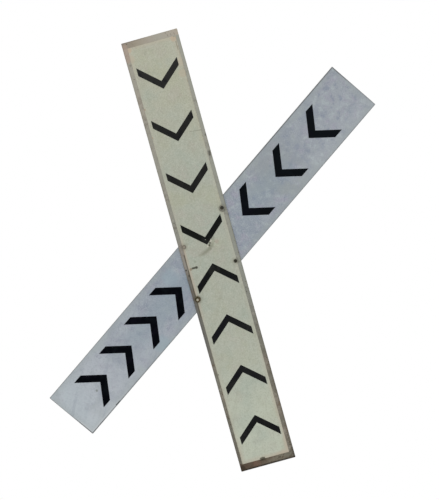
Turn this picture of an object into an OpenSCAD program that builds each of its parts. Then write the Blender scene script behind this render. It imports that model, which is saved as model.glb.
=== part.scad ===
// Railroad crossing sign: two long blades crossed in an X and bolted together at the crossing.
// X runs to the right, Z runs up and the face looks along -Y. The origin is the middle of the crossing,
// on the plane that the sign seats against: the outer faces of the two large back nuts.

/* [Blades] */
// Length of the front blade
front_len = 1205; // [900:1:1500]
// Length of the rear blade
rear_len = 1178; // [900:1:1500]
// Distance that the rear blade's middle lies past the crossing, towards its upper end
rear_shift = 4; // [0:0.5:20]
// Width of both blades
blade_w = 154; // [130:1:200]
// Thickness of the front blade's steel plate
front_t = 3; // [1.5:0.1:6]
// Thickness of the rear blade's aluminium plate
rear_t = 3; // [1.5:0.1:6]
// Radius of the blades' corners
corner_r = 2; // [1:0.5:8]
// Lean of each blade from the upright
half_angle = 28; // [24:0.5:40]

/* [Sheeting] */
// Thickness of the reflective sheeting
sheet_t = 0.4; // [0.2:0.05:0.8]
// Bare steel left along the front blade's left edge
sheet_left_gap = 10.5; // [4:0.5:14]
// Bare steel left along the front blade's right edge
sheet_right_gap = 11; // [4:0.5:14]
// Bare steel left at the front blade's upper end
sheet_top_gap = 17; // [4:0.5:30]
// Bare steel left at the front blade's lower end
sheet_foot_gap = 19.5; // [4:0.5:30]
// Angle at which the front sheeting was laid askew
sheet_skew = 0.22; // [0:0.01:0.25]
// Bare edge left all round the rear sheeting
rear_sheet_gap = 1.5; // [0.5:0.25:6]

/* [Arrow marks] */
// Thickness of the applied black marks
mark_t = 0.25; // [0.1:0.05:0.6]
// Distance from a front mark's ends to the blade's edges
front_mark_margin = 21; // [20:0.5:35]
// Distance that a front mark's tip stands ahead of its ends
front_mark_reach = 50; // [30:1:60]
// Width of the stroke of the front marks
front_stroke = 16; // [8:0.5:22]
// Distance from the crossing to the tip of the nearest front mark
front_tip_gap = 26; // [10:1:32]
// Distance from the front blade's ends to its outermost marks
front_end_gap = 72.5; // [35:1:100]
// Number of marks on each arm of the front blade
front_marks_per_arm = 4; // [2:1:4]
// Distance from a rear mark's ends to the blade's edges
rear_mark_margin = 24.5; // [15:0.5:35]
// Distance that a rear mark's tip stands ahead of its ends
rear_mark_reach = 48; // [30:1:60]
// Width of the stroke of the rear marks
rear_stroke = 20; // [8:0.5:22]
// Distance from the front blade's edge to the nearest rear mark's tip on the upper arm
rear_top_tip_gap = 43; // [20:1:60]
// Distance from the front blade's edge to the nearest rear mark's tip on the lower arm
rear_foot_tip_gap = 25; // [20:1:60]
// Distance from the rear blade's upper end to its outermost mark
rear_top_end_gap = 109; // [40:1:120]
// Distance from the rear blade's lower end to its outermost mark
rear_foot_end_gap = 76; // [40:1:90]
// Number of marks on the rear blade's upper arm
rear_top_marks = 3; // [1:1:3]
// Number of marks on the rear blade's lower arm
rear_foot_marks = 4; // [1:1:4]

/* [Bolt pattern] */
// Distance of the post bolts from the blades' edges, before the pattern is turned
post_edge = 17; // [15:0.5:24]
// Distance of the side bolts from the blades' edges, before the pattern is turned
side_edge = 13.5; // [12:0.5:20]
// Angle at which the whole pattern was drilled askew
pattern_turn = 2.5; // [0:0.1:3]
// Room around a bolt in its holes, on the radius
hole_clearance = 0.5; // [0.2:0.1:1]
// Sheeting cut away around each fastener, past its widest piece
sheet_clearance = 1; // [0.5:0.25:2]

/* [Post fasteners] */
// Outer diameter of the thread of the post bolt and the post stud
post_d = 8; // [7.5:0.5:9]
// Mean diameter of that thread, which the bar has inside the sign and its nuts
post_core_d = 7.2; // [5:0.1:7.5]
// Distance across the flats of the large hexagons
post_flats = 13; // [12:0.5:17]
// Height of the post bolt's head
post_head_h = 5.3; // [3:0.1:8]
// Height of the large nuts
post_nut_h = 6.5; // [4:0.1:9]
// Outer diameter of the large washers
post_washer_d = 16; // [15:0.5:20]
// Thickness of the large washers
post_washer_t = 1.6; // [1:0.1:2.5]
// Outer diameter of the large lock washers
post_lock_d = 14; // [12:0.5:18]
// Thickness of the large lock washers
post_lock_t = 2; // [1:0.1:3]
// Length of bare thread behind the large back nuts
post_tail = 25; // [10:1:60]
// Length of thread in front of the front nut
front_tail = 4; // [1:0.5:12]

/* [Side fasteners] */
// Outer diameter of the side bolts' thread
side_d = 5; // [4.5:0.25:6]
// Mean diameter of that thread, which the bar has inside the sign and its nuts
side_core_d = 4.5; // [3:0.1:4.5]
// Distance across the flats of the small hexagons
side_flats = 8; // [7:0.5:10]
// Height of the side bolts' heads
side_head_h = 3.5; // [2:0.1:5]
// Height of the small nuts
side_nut_h = 4; // [2.5:0.1:5]
// Outer diameter of the small washers
side_washer_d = 10; // [9:0.5:12]
// Thickness of the small washers
side_washer_t = 1; // [0.6:0.1:1.5]
// Outer diameter of the small lock washers
side_lock_d = 9; // [7.5:0.5:11]
// Thickness of the small lock washers
side_lock_t = 1.2; // [0.6:0.1:1.5]
// Length of thread behind the small nuts
side_tail = 1.5; // [1:0.1:3]

/* [Hidden] */
// Bevel on the ends of bolts and on the corners of hexagons
thread_bevel = 0.8;
hex_bevel = 0.5;
// Room around a bolt in its washers, on the radius, and the split in a lock washer
washer_clearance = 0.3;
lock_split = 2;
// Length by which a cutting tool passes the faces that it cuts
over = 1;
$fn = 72;

// Stack of layers, from the seating plane at zero towards the front, which is -Y
rear_back_y = -(post_nut_h + post_lock_t + post_washer_t);
rear_front_y = rear_back_y - rear_t;
front_back_y = rear_front_y - sheet_t;
front_front_y = front_back_y - front_t;
side_nut_y = rear_back_y + side_washer_t + side_lock_t + side_nut_h;

// Bolt places in X and Z: on the upright diagonal and on the level one of the crossing, then turned
post_reach = (blade_w / 2 - post_edge) / sin(half_angle);
side_reach = (blade_w / 2 - side_edge) / cos(half_angle);
top_at = post_reach * [sin(pattern_turn), cos(pattern_turn)];
right_at = side_reach * [cos(pattern_turn), -sin(pattern_turn)];
bottom_at = -top_at;
left_at = -right_at;

// Marks: height across the blade and length along it, and the places of the first and last of a row
front_mark_h = blade_w - 2 * front_mark_margin;
front_mark_len = mark_length(front_mark_h, front_mark_reach, front_stroke);
front_first = front_tip_gap + front_mark_len / 2;
front_last = front_len / 2 - front_end_gap - front_mark_len / 2;
rear_mark_h = blade_w - 2 * rear_mark_margin;
rear_mark_len = mark_length(rear_mark_h, rear_mark_reach, rear_stroke);
// Distance along the rear blade's middle line that the front blade covers on each side of the crossing
covered_half = blade_w / 2 / sin(2 * half_angle);
rear_top_first = covered_half + rear_top_tip_gap + rear_mark_len / 2;
rear_top_last = rear_len / 2 + rear_shift - rear_top_end_gap - rear_mark_len / 2;
rear_foot_first = covered_half + rear_foot_tip_gap + rear_mark_len / 2;
rear_foot_last = rear_len / 2 - rear_shift - rear_foot_end_gap - rear_mark_len / 2;

// Length along the blade of a mark whose arms are strokes of the given width
function mark_length(h, reach, stroke) = reach + stroke * norm([h / 2, reach]) / (h / 2);

// Place of mark number i in a row of n
function row_place(i, n, first, last) = n == 1 ? first : first + i * (last - first) / (n - 1);

// Children drawn in a blade's own frame, X across it and Z along it, are leaned into place
module on_front_blade() {
    rotate([0, -half_angle, 0]) children();
}

module on_rear_blade() {
    rotate([0, half_angle, 0]) children();
}

// A flat outline becomes a plate of thickness t whose back lies at back_y
module plate(back_y, t) {
    translate([0, back_y, 0]) rotate([90, 0, 0]) linear_extrude(t) children();
}

// A round bar along Y whose back end lies at back_y
module bar(back_y, length, d) {
    translate([0, back_y, 0]) rotate([90, 0, 0]) cylinder(h = length, d = d);
}

module at(place) {
    translate([place[0], 0, place[1]]) children();
}

module rounded_rectangle(w, l, r) {
    square([w, l - 2 * r], center = true);
    square([w - 2 * r, l], center = true);
    for (sx = [-1, 1], sy = [-1, 1])
        translate([sx * (w / 2 - r), sy * (l / 2 - r)]) circle(r = r);
}

// Arrowhead bar, pointing down the page, centred on its own length
module arrow_outline(h, reach, length) {
    polygon([
        [0, -length / 2],
        [h / 2, reach - length / 2],
        [h / 2, length / 2],
        [0, length / 2 - reach],
        [-h / 2, length / 2],
        [-h / 2, reach - length / 2]
    ]);
}

// Holes for all four bolts through everything between two depths
module bolt_holes(back_y, length) {
    for (place = [top_at, bottom_at])
        at(place) bar(back_y, length, post_d + 2 * hole_clearance);
    for (place = [right_at, left_at])
        at(place) bar(back_y, length, side_d + 2 * hole_clearance);
}

// Windows in the sheeting and the marks that let heads and washers seat on the front blade's steel
module fastener_windows() {
    side_corner_d = side_flats / cos(30);
    back_y = front_front_y + over;
    length = sheet_t + mark_t + 2 * over;
    for (place = [top_at, bottom_at])
        at(place) bar(back_y, length, post_washer_d + 2 * sheet_clearance);
    for (place = [right_at, left_at])
        at(place) bar(back_y, length, side_corner_d + 2 * sheet_clearance);
}

// Hexagon prism along Y with its back at back_y and its corners turned down at the front or at both ends
module hexagon(back_y, h, flats, both_ends) {
    r = flats / 2 / cos(30);
    back_r = both_ends ? r - hex_bevel : r;
    back_z = both_ends ? hex_bevel / 2 : 0;
    translate([0, back_y, 0]) rotate([90, 0, 0]) intersection() {
        cylinder(h = h, r = r, $fn = 6);
        rotate_extrude() polygon([
            [0, 0],
            [back_r, 0],
            [r, back_z],
            [r, h - hex_bevel / 2],
            [r - hex_bevel, h],
            [0, h]
        ]);
    }
}

// Bar along Y from back_y forwards, at its thread's mean diameter inside the sign and its nuts, and at
// the full diameter, with a bevelled end, where it stands free: over the tail and over front_free
module shank(back_y, length, tail, front_free, d, core_d) {
    bevelled_r = d / 2 - thread_bevel;
    neck_z = length - front_free;
    tail_points = [[0, 0], [bevelled_r, 0], [d / 2, thread_bevel], [d / 2, tail], [core_d / 2, tail]];
    front_points = front_free == 0 ? [[core_d / 2, length], [0, length]] : [
        [core_d / 2, neck_z],
        [d / 2, neck_z],
        [d / 2, length - thread_bevel],
        [bevelled_r, length],
        [0, length]
    ];
    translate([0, back_y, 0]) rotate([90, 0, 0]) rotate_extrude() polygon(concat(tail_points, front_points));
}

module hex_bolt(seat_y, nut_y, tail, d, core_d, flats, head_h) {
    shank(nut_y + tail, nut_y + tail - seat_y + head_h / 2, tail, 0, d, core_d);
    hexagon(seat_y, head_h, flats, false);
}

module hex_nut(back_y, h, flats, bore_d) {
    difference() {
        hexagon(back_y, h, flats, true);
        bar(back_y + over, h + 2 * over, bore_d);
    }
}

module washer(back_y, t, outer_d, d) {
    difference() {
        bar(back_y, t, outer_d);
        bar(back_y + over, t + 2 * over, d + 2 * washer_clearance);
    }
}

module lock_washer(back_y, t, outer_d, d) {
    difference() {
        washer(back_y, t, outer_d, d);
        translate([0, back_y + over - (t + 2 * over), -lock_split / 2])
            cube([outer_d, t + 2 * over, lock_split]);
    }
}

module front_blade() {
    color([0.47, 0.45, 0.40]) difference() {
        on_front_blade() plate(front_back_y, front_t) rounded_rectangle(blade_w, front_len, corner_r);
        bolt_holes(front_back_y + over, front_t + 2 * over);
    }
}

module front_sheeting() {
    w = blade_w - sheet_left_gap - sheet_right_gap;
    l = front_len - sheet_top_gap - sheet_foot_gap;
    centre = [(sheet_left_gap - sheet_right_gap) / 2, (sheet_foot_gap - sheet_top_gap) / 2];
    color([0.66, 0.67, 0.61]) difference() {
        on_front_blade() plate(front_front_y, sheet_t)
            translate(centre) rotate(-sheet_skew) square([w, l], center = true);
        fastener_windows();
    }
}

module front_marks() {
    color([0.10, 0.10, 0.11]) difference() {
        on_front_blade() plate(front_front_y - sheet_t, mark_t)
            for (arm = [0, 1], i = [0:front_marks_per_arm - 1])
                rotate(180 * arm)
                translate([0, row_place(i, front_marks_per_arm, front_first, front_last)])
                    arrow_outline(front_mark_h, front_mark_reach, front_mark_len);
        fastener_windows();
    }
}

module rear_blade() {
    color([0.72, 0.73, 0.74]) difference() {
        on_rear_blade() plate(rear_back_y, rear_t)
            translate([0, rear_shift]) rounded_rectangle(blade_w, rear_len, corner_r);
        bolt_holes(rear_back_y + over, rear_t + 2 * over);
    }
}

module rear_sheeting() {
    w = blade_w - 2 * rear_sheet_gap;
    l = rear_len - 2 * rear_sheet_gap;
    color([0.60, 0.64, 0.68]) difference() {
        on_rear_blade() plate(rear_front_y, sheet_t)
            translate([0, rear_shift]) square([w, l], center = true);
        bolt_holes(rear_front_y + over, sheet_t + 2 * over);
    }
}

module rear_marks() {
    color([0.06, 0.06, 0.09]) on_rear_blade() plate(front_back_y, mark_t) {
        for (i = [0:rear_top_marks - 1])
            translate([0, row_place(i, rear_top_marks, rear_top_first, rear_top_last)])
                arrow_outline(rear_mark_h, rear_mark_reach, rear_mark_len);
        for (i = [0:rear_foot_marks - 1])
            rotate(180) translate([0, row_place(i, rear_foot_marks, rear_foot_first, rear_foot_last)])
                arrow_outline(rear_mark_h, rear_mark_reach, rear_mark_len);
    }
}

module top_bolt() {
    color([0.20, 0.17, 0.14]) at(top_at)
        hex_bolt(front_front_y - post_washer_t, 0, post_tail, post_d, post_core_d, post_flats, post_head_h);
}

module bottom_stud() {
    front_y = front_front_y - post_washer_t - post_nut_h - front_tail;
    color([0.60, 0.58, 0.50]) at(bottom_at)
        shank(post_tail, post_tail - front_y, post_tail, front_tail, post_d, post_core_d);
}

module front_nut() {
    color([0.22, 0.19, 0.12]) at(bottom_at)
        hex_nut(front_front_y - post_washer_t, post_nut_h, post_flats, post_core_d);
}

module side_bolt(place) {
    color([0.17, 0.16, 0.12]) at(place)
        hex_bolt(front_front_y, side_nut_y, side_tail, side_d, side_core_d, side_flats, side_head_h);
}

module front_washer(place) {
    color([0.45, 0.43, 0.38]) at(place) washer(front_front_y, post_washer_t, post_washer_d, post_d);
}

module post_back_washer(place) {
    color([0.62, 0.62, 0.60]) at(place)
        washer(rear_back_y + post_washer_t, post_washer_t, post_washer_d, post_d);
}

module side_back_washer(place) {
    color([0.62, 0.62, 0.60]) at(place)
        washer(rear_back_y + side_washer_t, side_washer_t, side_washer_d, side_d);
}

module post_lock_washer(place) {
    color([0.50, 0.49, 0.47]) at(place)
        lock_washer(rear_back_y + post_washer_t + post_lock_t, post_lock_t, post_lock_d, post_d);
}

module side_lock_washer(place) {
    color([0.50, 0.49, 0.47]) at(place)
        lock_washer(rear_back_y + side_washer_t + side_lock_t, side_lock_t, side_lock_d, side_d);
}

module post_back_nut(place) {
    color([0.55, 0.54, 0.50]) at(place) hex_nut(0, post_nut_h, post_flats, post_core_d);
}

module side_back_nut(place) {
    color([0.55, 0.54, 0.50]) at(place) hex_nut(side_nut_y, side_nut_h, side_flats, side_core_d);
}

front_blade();
front_sheeting();
front_marks();
rear_blade();
rear_sheeting();
rear_marks();
top_bolt();
bottom_stud();
front_nut();
side_bolt(right_at);  // right_bolt
side_bolt(left_at);  // left_bolt
front_washer(top_at);  // front_washer_top
front_washer(bottom_at);  // front_washer_bottom
post_back_washer(top_at);  // back_washer_top
side_back_washer(right_at);  // back_washer_right
post_back_washer(bottom_at);  // back_washer_bottom
side_back_washer(left_at);  // back_washer_left
post_lock_washer(top_at);  // lock_washer_top
side_lock_washer(right_at);  // lock_washer_right
post_lock_washer(bottom_at);  // lock_washer_bottom
side_lock_washer(left_at);  // lock_washer_left
post_back_nut(top_at);  // back_nut_top
side_back_nut(right_at);  // back_nut_right
post_back_nut(bottom_at);  // back_nut_bottom
side_back_nut(left_at);  // back_nut_left
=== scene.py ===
"""Railroad crossing sign: weathered blades, sheeting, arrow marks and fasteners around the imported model."""
import math

import bpy
from bpy.props import FloatProperty, FloatVectorProperty, IntProperty, PointerProperty
from bpy.types import Operator, Panel, PropertyGroup
from mathutils import Matrix, Vector


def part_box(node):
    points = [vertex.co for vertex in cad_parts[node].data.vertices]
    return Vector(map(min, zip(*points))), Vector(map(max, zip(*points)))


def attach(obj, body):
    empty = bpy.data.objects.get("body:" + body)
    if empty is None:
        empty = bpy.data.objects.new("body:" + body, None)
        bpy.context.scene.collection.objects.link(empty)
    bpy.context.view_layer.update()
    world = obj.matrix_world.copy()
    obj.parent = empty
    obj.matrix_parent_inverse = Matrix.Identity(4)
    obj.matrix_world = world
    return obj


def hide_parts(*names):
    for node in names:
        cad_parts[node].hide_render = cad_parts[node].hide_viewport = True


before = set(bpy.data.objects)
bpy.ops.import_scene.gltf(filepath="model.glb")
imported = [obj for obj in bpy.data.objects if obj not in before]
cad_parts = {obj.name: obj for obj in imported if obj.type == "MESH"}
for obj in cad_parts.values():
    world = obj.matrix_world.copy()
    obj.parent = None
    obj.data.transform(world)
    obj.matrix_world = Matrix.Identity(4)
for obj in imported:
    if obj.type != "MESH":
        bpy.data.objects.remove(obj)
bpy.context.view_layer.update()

bl_info = {
    "name": "Railroad Crossing Sign",
    "version": (1, 0, 0),
    "blender": (4, 5, 0),
    "location": "3D View > Sidebar > Crossing Sign",
    "description": "Builds the weathered blades, sheeting, marks and fasteners of a crossbuck sign",
    "category": "Object",
}


# Settings

def paint(red, green, blue):
    """The linear colour that shows on a screen as these three numbers from 0 to 255."""
    shown = (red / 255, green / 255, blue / 255)
    return tuple(c / 12.92 if c <= 0.04045 else ((c + 0.055) / 1.055) ** 2.4 for c in shown)


def size(name, description, default):
    """A length in metres."""
    return FloatProperty(name=name, description=description, default=default, unit="LENGTH", precision=5)


def turn(name, description, degrees):
    """An angle, with its default in degrees."""
    return FloatProperty(name=name, description=description, default=math.radians(degrees), subtype="ANGLE")


def tint(name, description, red, green, blue):
    """A colour, with its default as shown on a screen."""
    return FloatVectorProperty(name=name, description=description, default=paint(red, green, blue),
                               size=3, min=0, max=1, subtype="COLOR")


def number(name, description, default, least=2):
    """A whole number."""
    return IntProperty(name=name, description=description, default=default, min=least)


def power(name, description, default):
    """The power of a lamp in watts."""
    return FloatProperty(name=name, description=description, default=default, min=0, unit="POWER")


class BladeSizes:
    """Sizes that both blades have."""

    width: size("Width", "Width of the blade", 0.154)
    corner: size("Corner Radius", "Radius of the blade's corners", 0.002)
    edge: size("Edge Radius", "Rounding of the blade's edges", 0.0005)
    wave: size("Waviness", "Height of the gentle waves in the plate away from the crossing", 0.0009)
    nick: size("Edge Nicks", "Depth of the nicks along the edges", 0.0005)
    cell: size("Mesh Cell", "Spacing of the mesh along the blade", 0.003)


class FrontBladeSettings(BladeSizes, PropertyGroup):
    """The front blade's steel plate."""

    length: size("Length", "Length of the front blade", 1.205)
    lean: turn("Lean", "Lean of the blade from the upright", 28)
    shift: size("Shift", "Distance of the blade's middle past the crossing", 0)
    bulge: size("Bulge Height", "Height of the bulge near the crossing", 0.0016)
    bulge_radius: size("Bulge Radius", "Radius of the bulge", 0.013)
    bulge_across: size("Bulge Across", "Place of the bulge across the blade", 0.0095)
    bulge_along: size("Bulge Along", "Place of the bulge along the blade", 0.0235)
    blisters: number("Rust Blisters", "Number of rust blisters on the bare steel", 260, 0)
    upper: tint("Upper Border", "Colour of the bare border near the upper end", 154, 151, 139)
    middle: tint("Middle Border", "Colour of the bare border near the crossing", 139, 139, 129)
    lower: tint("Lower Border", "Colour of the bare border near the lower end", 113, 110, 98)
    rust: tint("Rust", "Colour of the rust on the lower end", 88, 72, 57)


class RearBladeSettings(BladeSizes, PropertyGroup):
    """The rear blade's aluminium plate."""

    length: size("Length", "Length of the rear blade", 1.178)
    lean: turn("Lean", "Lean of the blade from the upright", -28)
    shift: size("Shift", "Distance of the blade's middle past the crossing", 0.004)
    metal: tint("Metal", "Colour of the bare aluminium", 158, 160, 161)
    oxide: tint("Oxide", "Colour of the dull oxide on the aluminium", 176, 178, 177)
    # laid as a thin darker line along the edges of the aluminium and of the white sheeting
    edge_line: tint("Edge Line", "Colour of the dirt along the plate's edges", 92, 95, 97)


class FrontSheetingSettings(PropertyGroup):
    """The cream sheeting on the front blade."""

    left: size("Left Gap", "Bare steel at the left edge", 0.0105)
    right: size("Right Gap", "Bare steel at the right edge", 0.011)
    top: size("Top Gap", "Bare steel at the upper end", 0.017)
    foot: size("Foot Gap", "Bare steel at the lower end", 0.0195)
    skew: turn("Skew", "Angle at which the sheeting was laid askew", 0.22)
    corner: size("Corner Radius", "Radius of the sheeting's corners", 0.0008)
    edge: size("Edge Radius", "Rounding of the sheeting's edges", 0.0001)
    nick: size("Edge Nicks", "Depth of the ragged places along the edges", 0.0007)
    upper: tint("Upper Cream", "Colour near the upper end", 178, 179, 161)
    crossing: tint("Crossing Cream", "Colour near the crossing", 169, 173, 159)
    lower: tint("Lower Cream", "Colour near the lower end", 188, 194, 177)
    warm: tint("Warm Edge", "Colour of the stain along the edges", 184, 175, 157)
    dirt: tint("Dirt", "Colour of the chips and cracks", 50, 51, 34)


class RearSheetingSettings(PropertyGroup):
    """The white sheeting on the rear blade."""

    gap: size("Gap", "Bare edge all round", 0.0015)
    corner: size("Corner Radius", "Radius of the sheeting's corners", 0.0012)
    edge: size("Edge Radius", "Rounding of the sheeting's edges", 0.0001)
    nick: size("Edge Nicks", "Depth of the ragged places along the edges", 0.0004)
    upper: tint("Upper White", "Colour near the upper end", 154, 160, 167)
    crossing: tint("Crossing White", "Colour near the crossing", 146, 155, 165)
    lower: tint("Lower White", "Colour near the lower end", 181, 187, 194)
    stain: tint("Blue Stain", "Colour of the darker stains", 136, 144, 157)
    moss: tint("Grey-green Stain", "Colour of the grey-green patches", 153, 161, 162)


class MarkSizes:
    """Sizes that both rows of arrow marks have."""

    edge: size("Edge Radius", "Rounding of the film's edges", 0.00006)
    fray: size("Fray", "Unevenness of the film's edges", 0.0002)


class FrontMarkSettings(MarkSizes, PropertyGroup):
    """The black marks on the front blade."""

    height: size("Height", "Height of a mark across the blade", 0.112)
    reach: size("Reach", "Distance that a mark's tip stands ahead of its ends", 0.05)
    stroke: size("Stroke", "Width of a mark's stroke", 0.016)
    first: size("First Gap", "From the crossing to the nearest tips", 0.026)
    last: size("Last Gap", "From the outermost marks to the blade's ends", 0.0725)
    count: number("Count", "Number of marks on each arm", 4)
    upper: tint("Upper Film", "Colour of the faded film near the upper end", 41, 41, 40)
    crossing: tint("Crossing Film", "Colour of the film near the crossing", 15, 17, 15)
    lower: tint("Lower Film", "Colour of the film on the lower arm", 25, 26, 27)


class RearMarkSettings(MarkSizes, PropertyGroup):
    """The black marks on the rear blade."""

    height: size("Height", "Height of a mark across the blade", 0.105)
    reach: size("Reach", "Distance that a mark's tip stands ahead of its ends", 0.048)
    stroke: size("Stroke", "Width of a mark's stroke", 0.02)
    upper_first: size("Upper First Gap", "From the front blade's edge to the nearest upper tip", 0.043)
    upper_last: size("Upper Last Gap", "From the outermost upper mark to the blade's end", 0.109)
    lower_first: size("Lower First Gap", "From the front blade's edge to the nearest lower tip", 0.025)
    lower_last: size("Lower Last Gap", "From the outermost lower mark to the blade's end", 0.076)
    upper_count: number("Upper Count", "Number of marks on the upper arm", 3)
    lower_count: number("Lower Count", "Number of marks on the lower arm", 4)
    upper: tint("Upper Film", "Colour of the film near the upper end", 14, 18, 22)
    crossing: tint("Crossing Film", "Colour of the film near the crossing", 6, 9, 14)
    lower: tint("Lower Film", "Colour of the film on the lower arm", 3, 5, 10)


def fastener_sizes(thread, core, root, pitch, flats, washer, lock, hole, window):
    """The sizes of one kind of bolt with its nuts, its washers and its holes."""
    return {
        "thread": size("Thread", "Outer diameter of the thread", thread),
        "core": size("Core", "Diameter of the shank inside the sign", core),
        "root": size("Root", "Diameter at the bottom of the thread", root),
        "pitch": size("Pitch", "Distance from one turn of the thread to the next", pitch),
        "flats": size("Flats", "Distance across the flats", flats),
        "washer": size("Washer", "Outer diameter of the flat washers", washer),
        "lock": size("Lock Washer", "Outer diameter of the lock washers", lock),
        "play": size("Play", "Gap round the thread inside a washer", 0.0003),
        "hole": size("Hole", "Diameter of the holes in the blades", hole),
        "window": size("Window", "Diameter of the opening in the front sheeting", window),
    }


class PostFastenerSettings(PropertyGroup):
    """The top bolt and the bottom stud, with their nuts and washers."""

    __annotations__ = fastener_sizes(thread=0.008, core=0.0072, root=0.0066, pitch=0.00125, flats=0.013,
                                     washer=0.016, lock=0.014, hole=0.009, window=0.018)


class SideFastenerSettings(PropertyGroup):
    """The left and right bolts, with their nuts and washers."""

    __annotations__ = fastener_sizes(thread=0.005, core=0.0045, root=0.0042, pitch=0.0008, flats=0.008,
                                     washer=0.01, lock=0.009, hole=0.006, window=0.01124)


class MetalSettings(PropertyGroup):
    """Colours of the fasteners."""

    top_head: tint("Top Bolt", "Colour of the top bolt's rusted head", 40, 41, 35)
    # painted highlight: a lighter ring round the head's dark core, standing in for light on the head's bevel
    top_rim_highlight: tint("Top Bolt Rim", "Colour of the worn rim of the top bolt's head", 128, 127, 117)
    right_head: tint("Right Bolt", "Colour of the right bolt's head", 33, 34, 22)
    left_head: tint("Left Bolt", "Colour of the left bolt's painted head", 144, 137, 124)
    left_rim: tint("Left Bolt Rim", "Colour of the soiled rim of the left bolt's head", 112, 105, 93)
    front_nut: tint("Front Nut", "Colour of the front nut", 52, 48, 28)
    blister: tint("Blisters", "Colour of the old rust blisters", 62, 56, 46)
    # also laid over the front nut's right side as painted light
    newer_rust_and_light_tint: tint("Newer Rust", "Colour of the newer rust", 84, 68, 44)
    front_washer: tint("Front Washer", "Colour of the dull washer under the top bolt", 152, 151, 138)
    lower_washer: tint("Lower Washer", "Colour of the dull washer under the front nut", 112, 105, 80)
    zinc: tint("Zinc", "Colour of the dull zinc plating", 150, 148, 140)
    stud: tint("Stud End", "Colour of the stud's worn end", 168, 162, 142)
    white_rust: tint("White Rust", "Colour of the chalky bloom on the zinc", 188, 187, 180)


class StageSettings(PropertyGroup):
    """The floor, the light and the camera."""

    floor: size("Floor", "Height of the floor below the crossing", -1.6)
    floor_radius: size("Floor Radius", "Radius of the round floor", 1.9)
    floor_colour: tint("Floor Colour", "Colour of the pale floor", 236, 236, 234)
    sky: FloatProperty(name="Sky", description="Strength of the even light from all sides",
                       default=0.85, min=0)
    key: power("Key Lamp", "Power of the large lamp in front", 24)
    back: power("Back Lamp", "Power of the large lamp behind", 14)
    lamp: size("Lamp Size", "Diameter of both lamps", 2.4)
    distance: size("Distance", "Distance from the camera to the crossing", 2.7021)
    azimuth: turn("Azimuth", "Angle of the camera round the sign", -1.366)
    elevation: turn("Elevation", "Height of the camera as an angle", 4.39)
    roll: turn("Roll", "Turn of the camera about its own axis", 12.488)


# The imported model

def depth(node, side):
    """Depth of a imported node's front (0) or back (1) face along Y."""
    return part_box(node)[side][1]


def thickness(node):
    """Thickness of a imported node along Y."""
    return depth(node, 1) - depth(node, 0)


def middle(node):
    """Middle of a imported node, as a place across the sign's face."""
    low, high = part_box(node)
    return Vector(((low.x + high.x) / 2, 0, (low.z + high.z) / 2))


# Numbers and nodes

class Num:
    """A number that flows between nodes. Sums that are written with it become Math nodes."""

    def __init__(self, tree, socket):
        self.tree = tree
        self.socket = socket

    def ramp(self, start, end, low=0.0, high=1.0):
        """Goes smoothly from low at start to high at end, and no further."""
        inputs = {"Value": self, "From Min": start, "From Max": end, "To Min": low, "To Max": high}
        new = add(self.tree, "ShaderNodeMapRange", inputs, interpolation_type="SMOOTHSTEP")
        return Num(self.tree, new.outputs[0])

    def shaken(self, wobble, amount):
        """Moved up and down by a noise, over a whole range of amount."""
        return self + (wobble - 0.5) * amount


def math_method(operation, backwards=False):
    """A method that makes a Math node, with its own number last where it works backwards."""
    def method(self, *others):
        return sums(self.tree, operation, *((*others, self) if backwards else (self, *others)))
    return method


for method_name, operation_name in {
        "__add__": "ADD", "__radd__": "ADD", "__sub__": "SUBTRACT", "__mul__": "MULTIPLY",
        "__rmul__": "MULTIPLY", "__truediv__": "DIVIDE", "__mod__": "FLOORED_MODULO",
        "__gt__": "GREATER_THAN", "__lt__": "LESS_THAN", "__abs__": "ABSOLUTE", "least": "MINIMUM",
        "most": "MAXIMUM", "root": "SQRT", "cosine": "COSINE", "sine": "SINE", "sign": "SIGN",
        "whole": "ROUND"}.items():
    setattr(Num, method_name, math_method(operation_name))
Num.__rsub__ = math_method("SUBTRACT", backwards=True)


def feed(tree, socket, value):
    """Links another node's output to a socket, or sets the socket to a constant."""
    if isinstance(value, Num):
        value = value.socket
    if isinstance(value, bpy.types.NodeSocket):
        tree.links.new(value, socket)
    else:
        socket.default_value = value


def add(tree, kind, inputs=None, **settings):
    """Adds a node with its settings, and feeds its inputs by name or number."""
    new = tree.nodes.new(kind)
    for name, value in settings.items():
        setattr(new, name, value)
    for name, value in (inputs or {}).items():
        feed(tree, new.inputs[name], value)
    return new


def sums(tree, operation, *values):
    """A Math node's result."""
    return Num(tree, add(tree, "ShaderNodeMath", dict(enumerate(values)), operation=operation).outputs[0])


def where(test, yes, no):
    """yes where the test is 1, and no where it is 0."""
    return test * (yes - no) + no


def distance(x, z):
    """Length of the line to a place."""
    return (x * x + z * z).root()


def split(tree, vector):
    """A vector's three numbers."""
    return [Num(tree, out) for out in add(tree, "ShaderNodeSeparateXYZ", {0: vector}).outputs]


def join(tree, x, y, z):
    """The vector of three numbers."""
    return add(tree, "ShaderNodeCombineXYZ", {0: x, 1: y, 2: z}).outputs[0]


def noise(tree, vector, scale, detail=2.0, rough=0.5, swirl=0.0):
    """Smooth noise from 0 to 1, with scale waves in a metre."""
    inputs = {"Vector": vector, "Scale": scale, "Detail": detail, "Roughness": rough, "Distortion": swirl}
    return Num(tree, add(tree, "ShaderNodeTexNoise", inputs).outputs[0])


def moved(tree, vector, place=(0, 0, 0), angle=0.0, scale=(1, 1, 1)):
    """A vector scaled, turned about Y and moved."""
    inputs = {"Vector": vector, "Location": place, "Rotation": (0, angle, 0), "Scale": scale}
    return add(tree, "ShaderNodeMapping", inputs).outputs[0]


# Geometry trees

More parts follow.
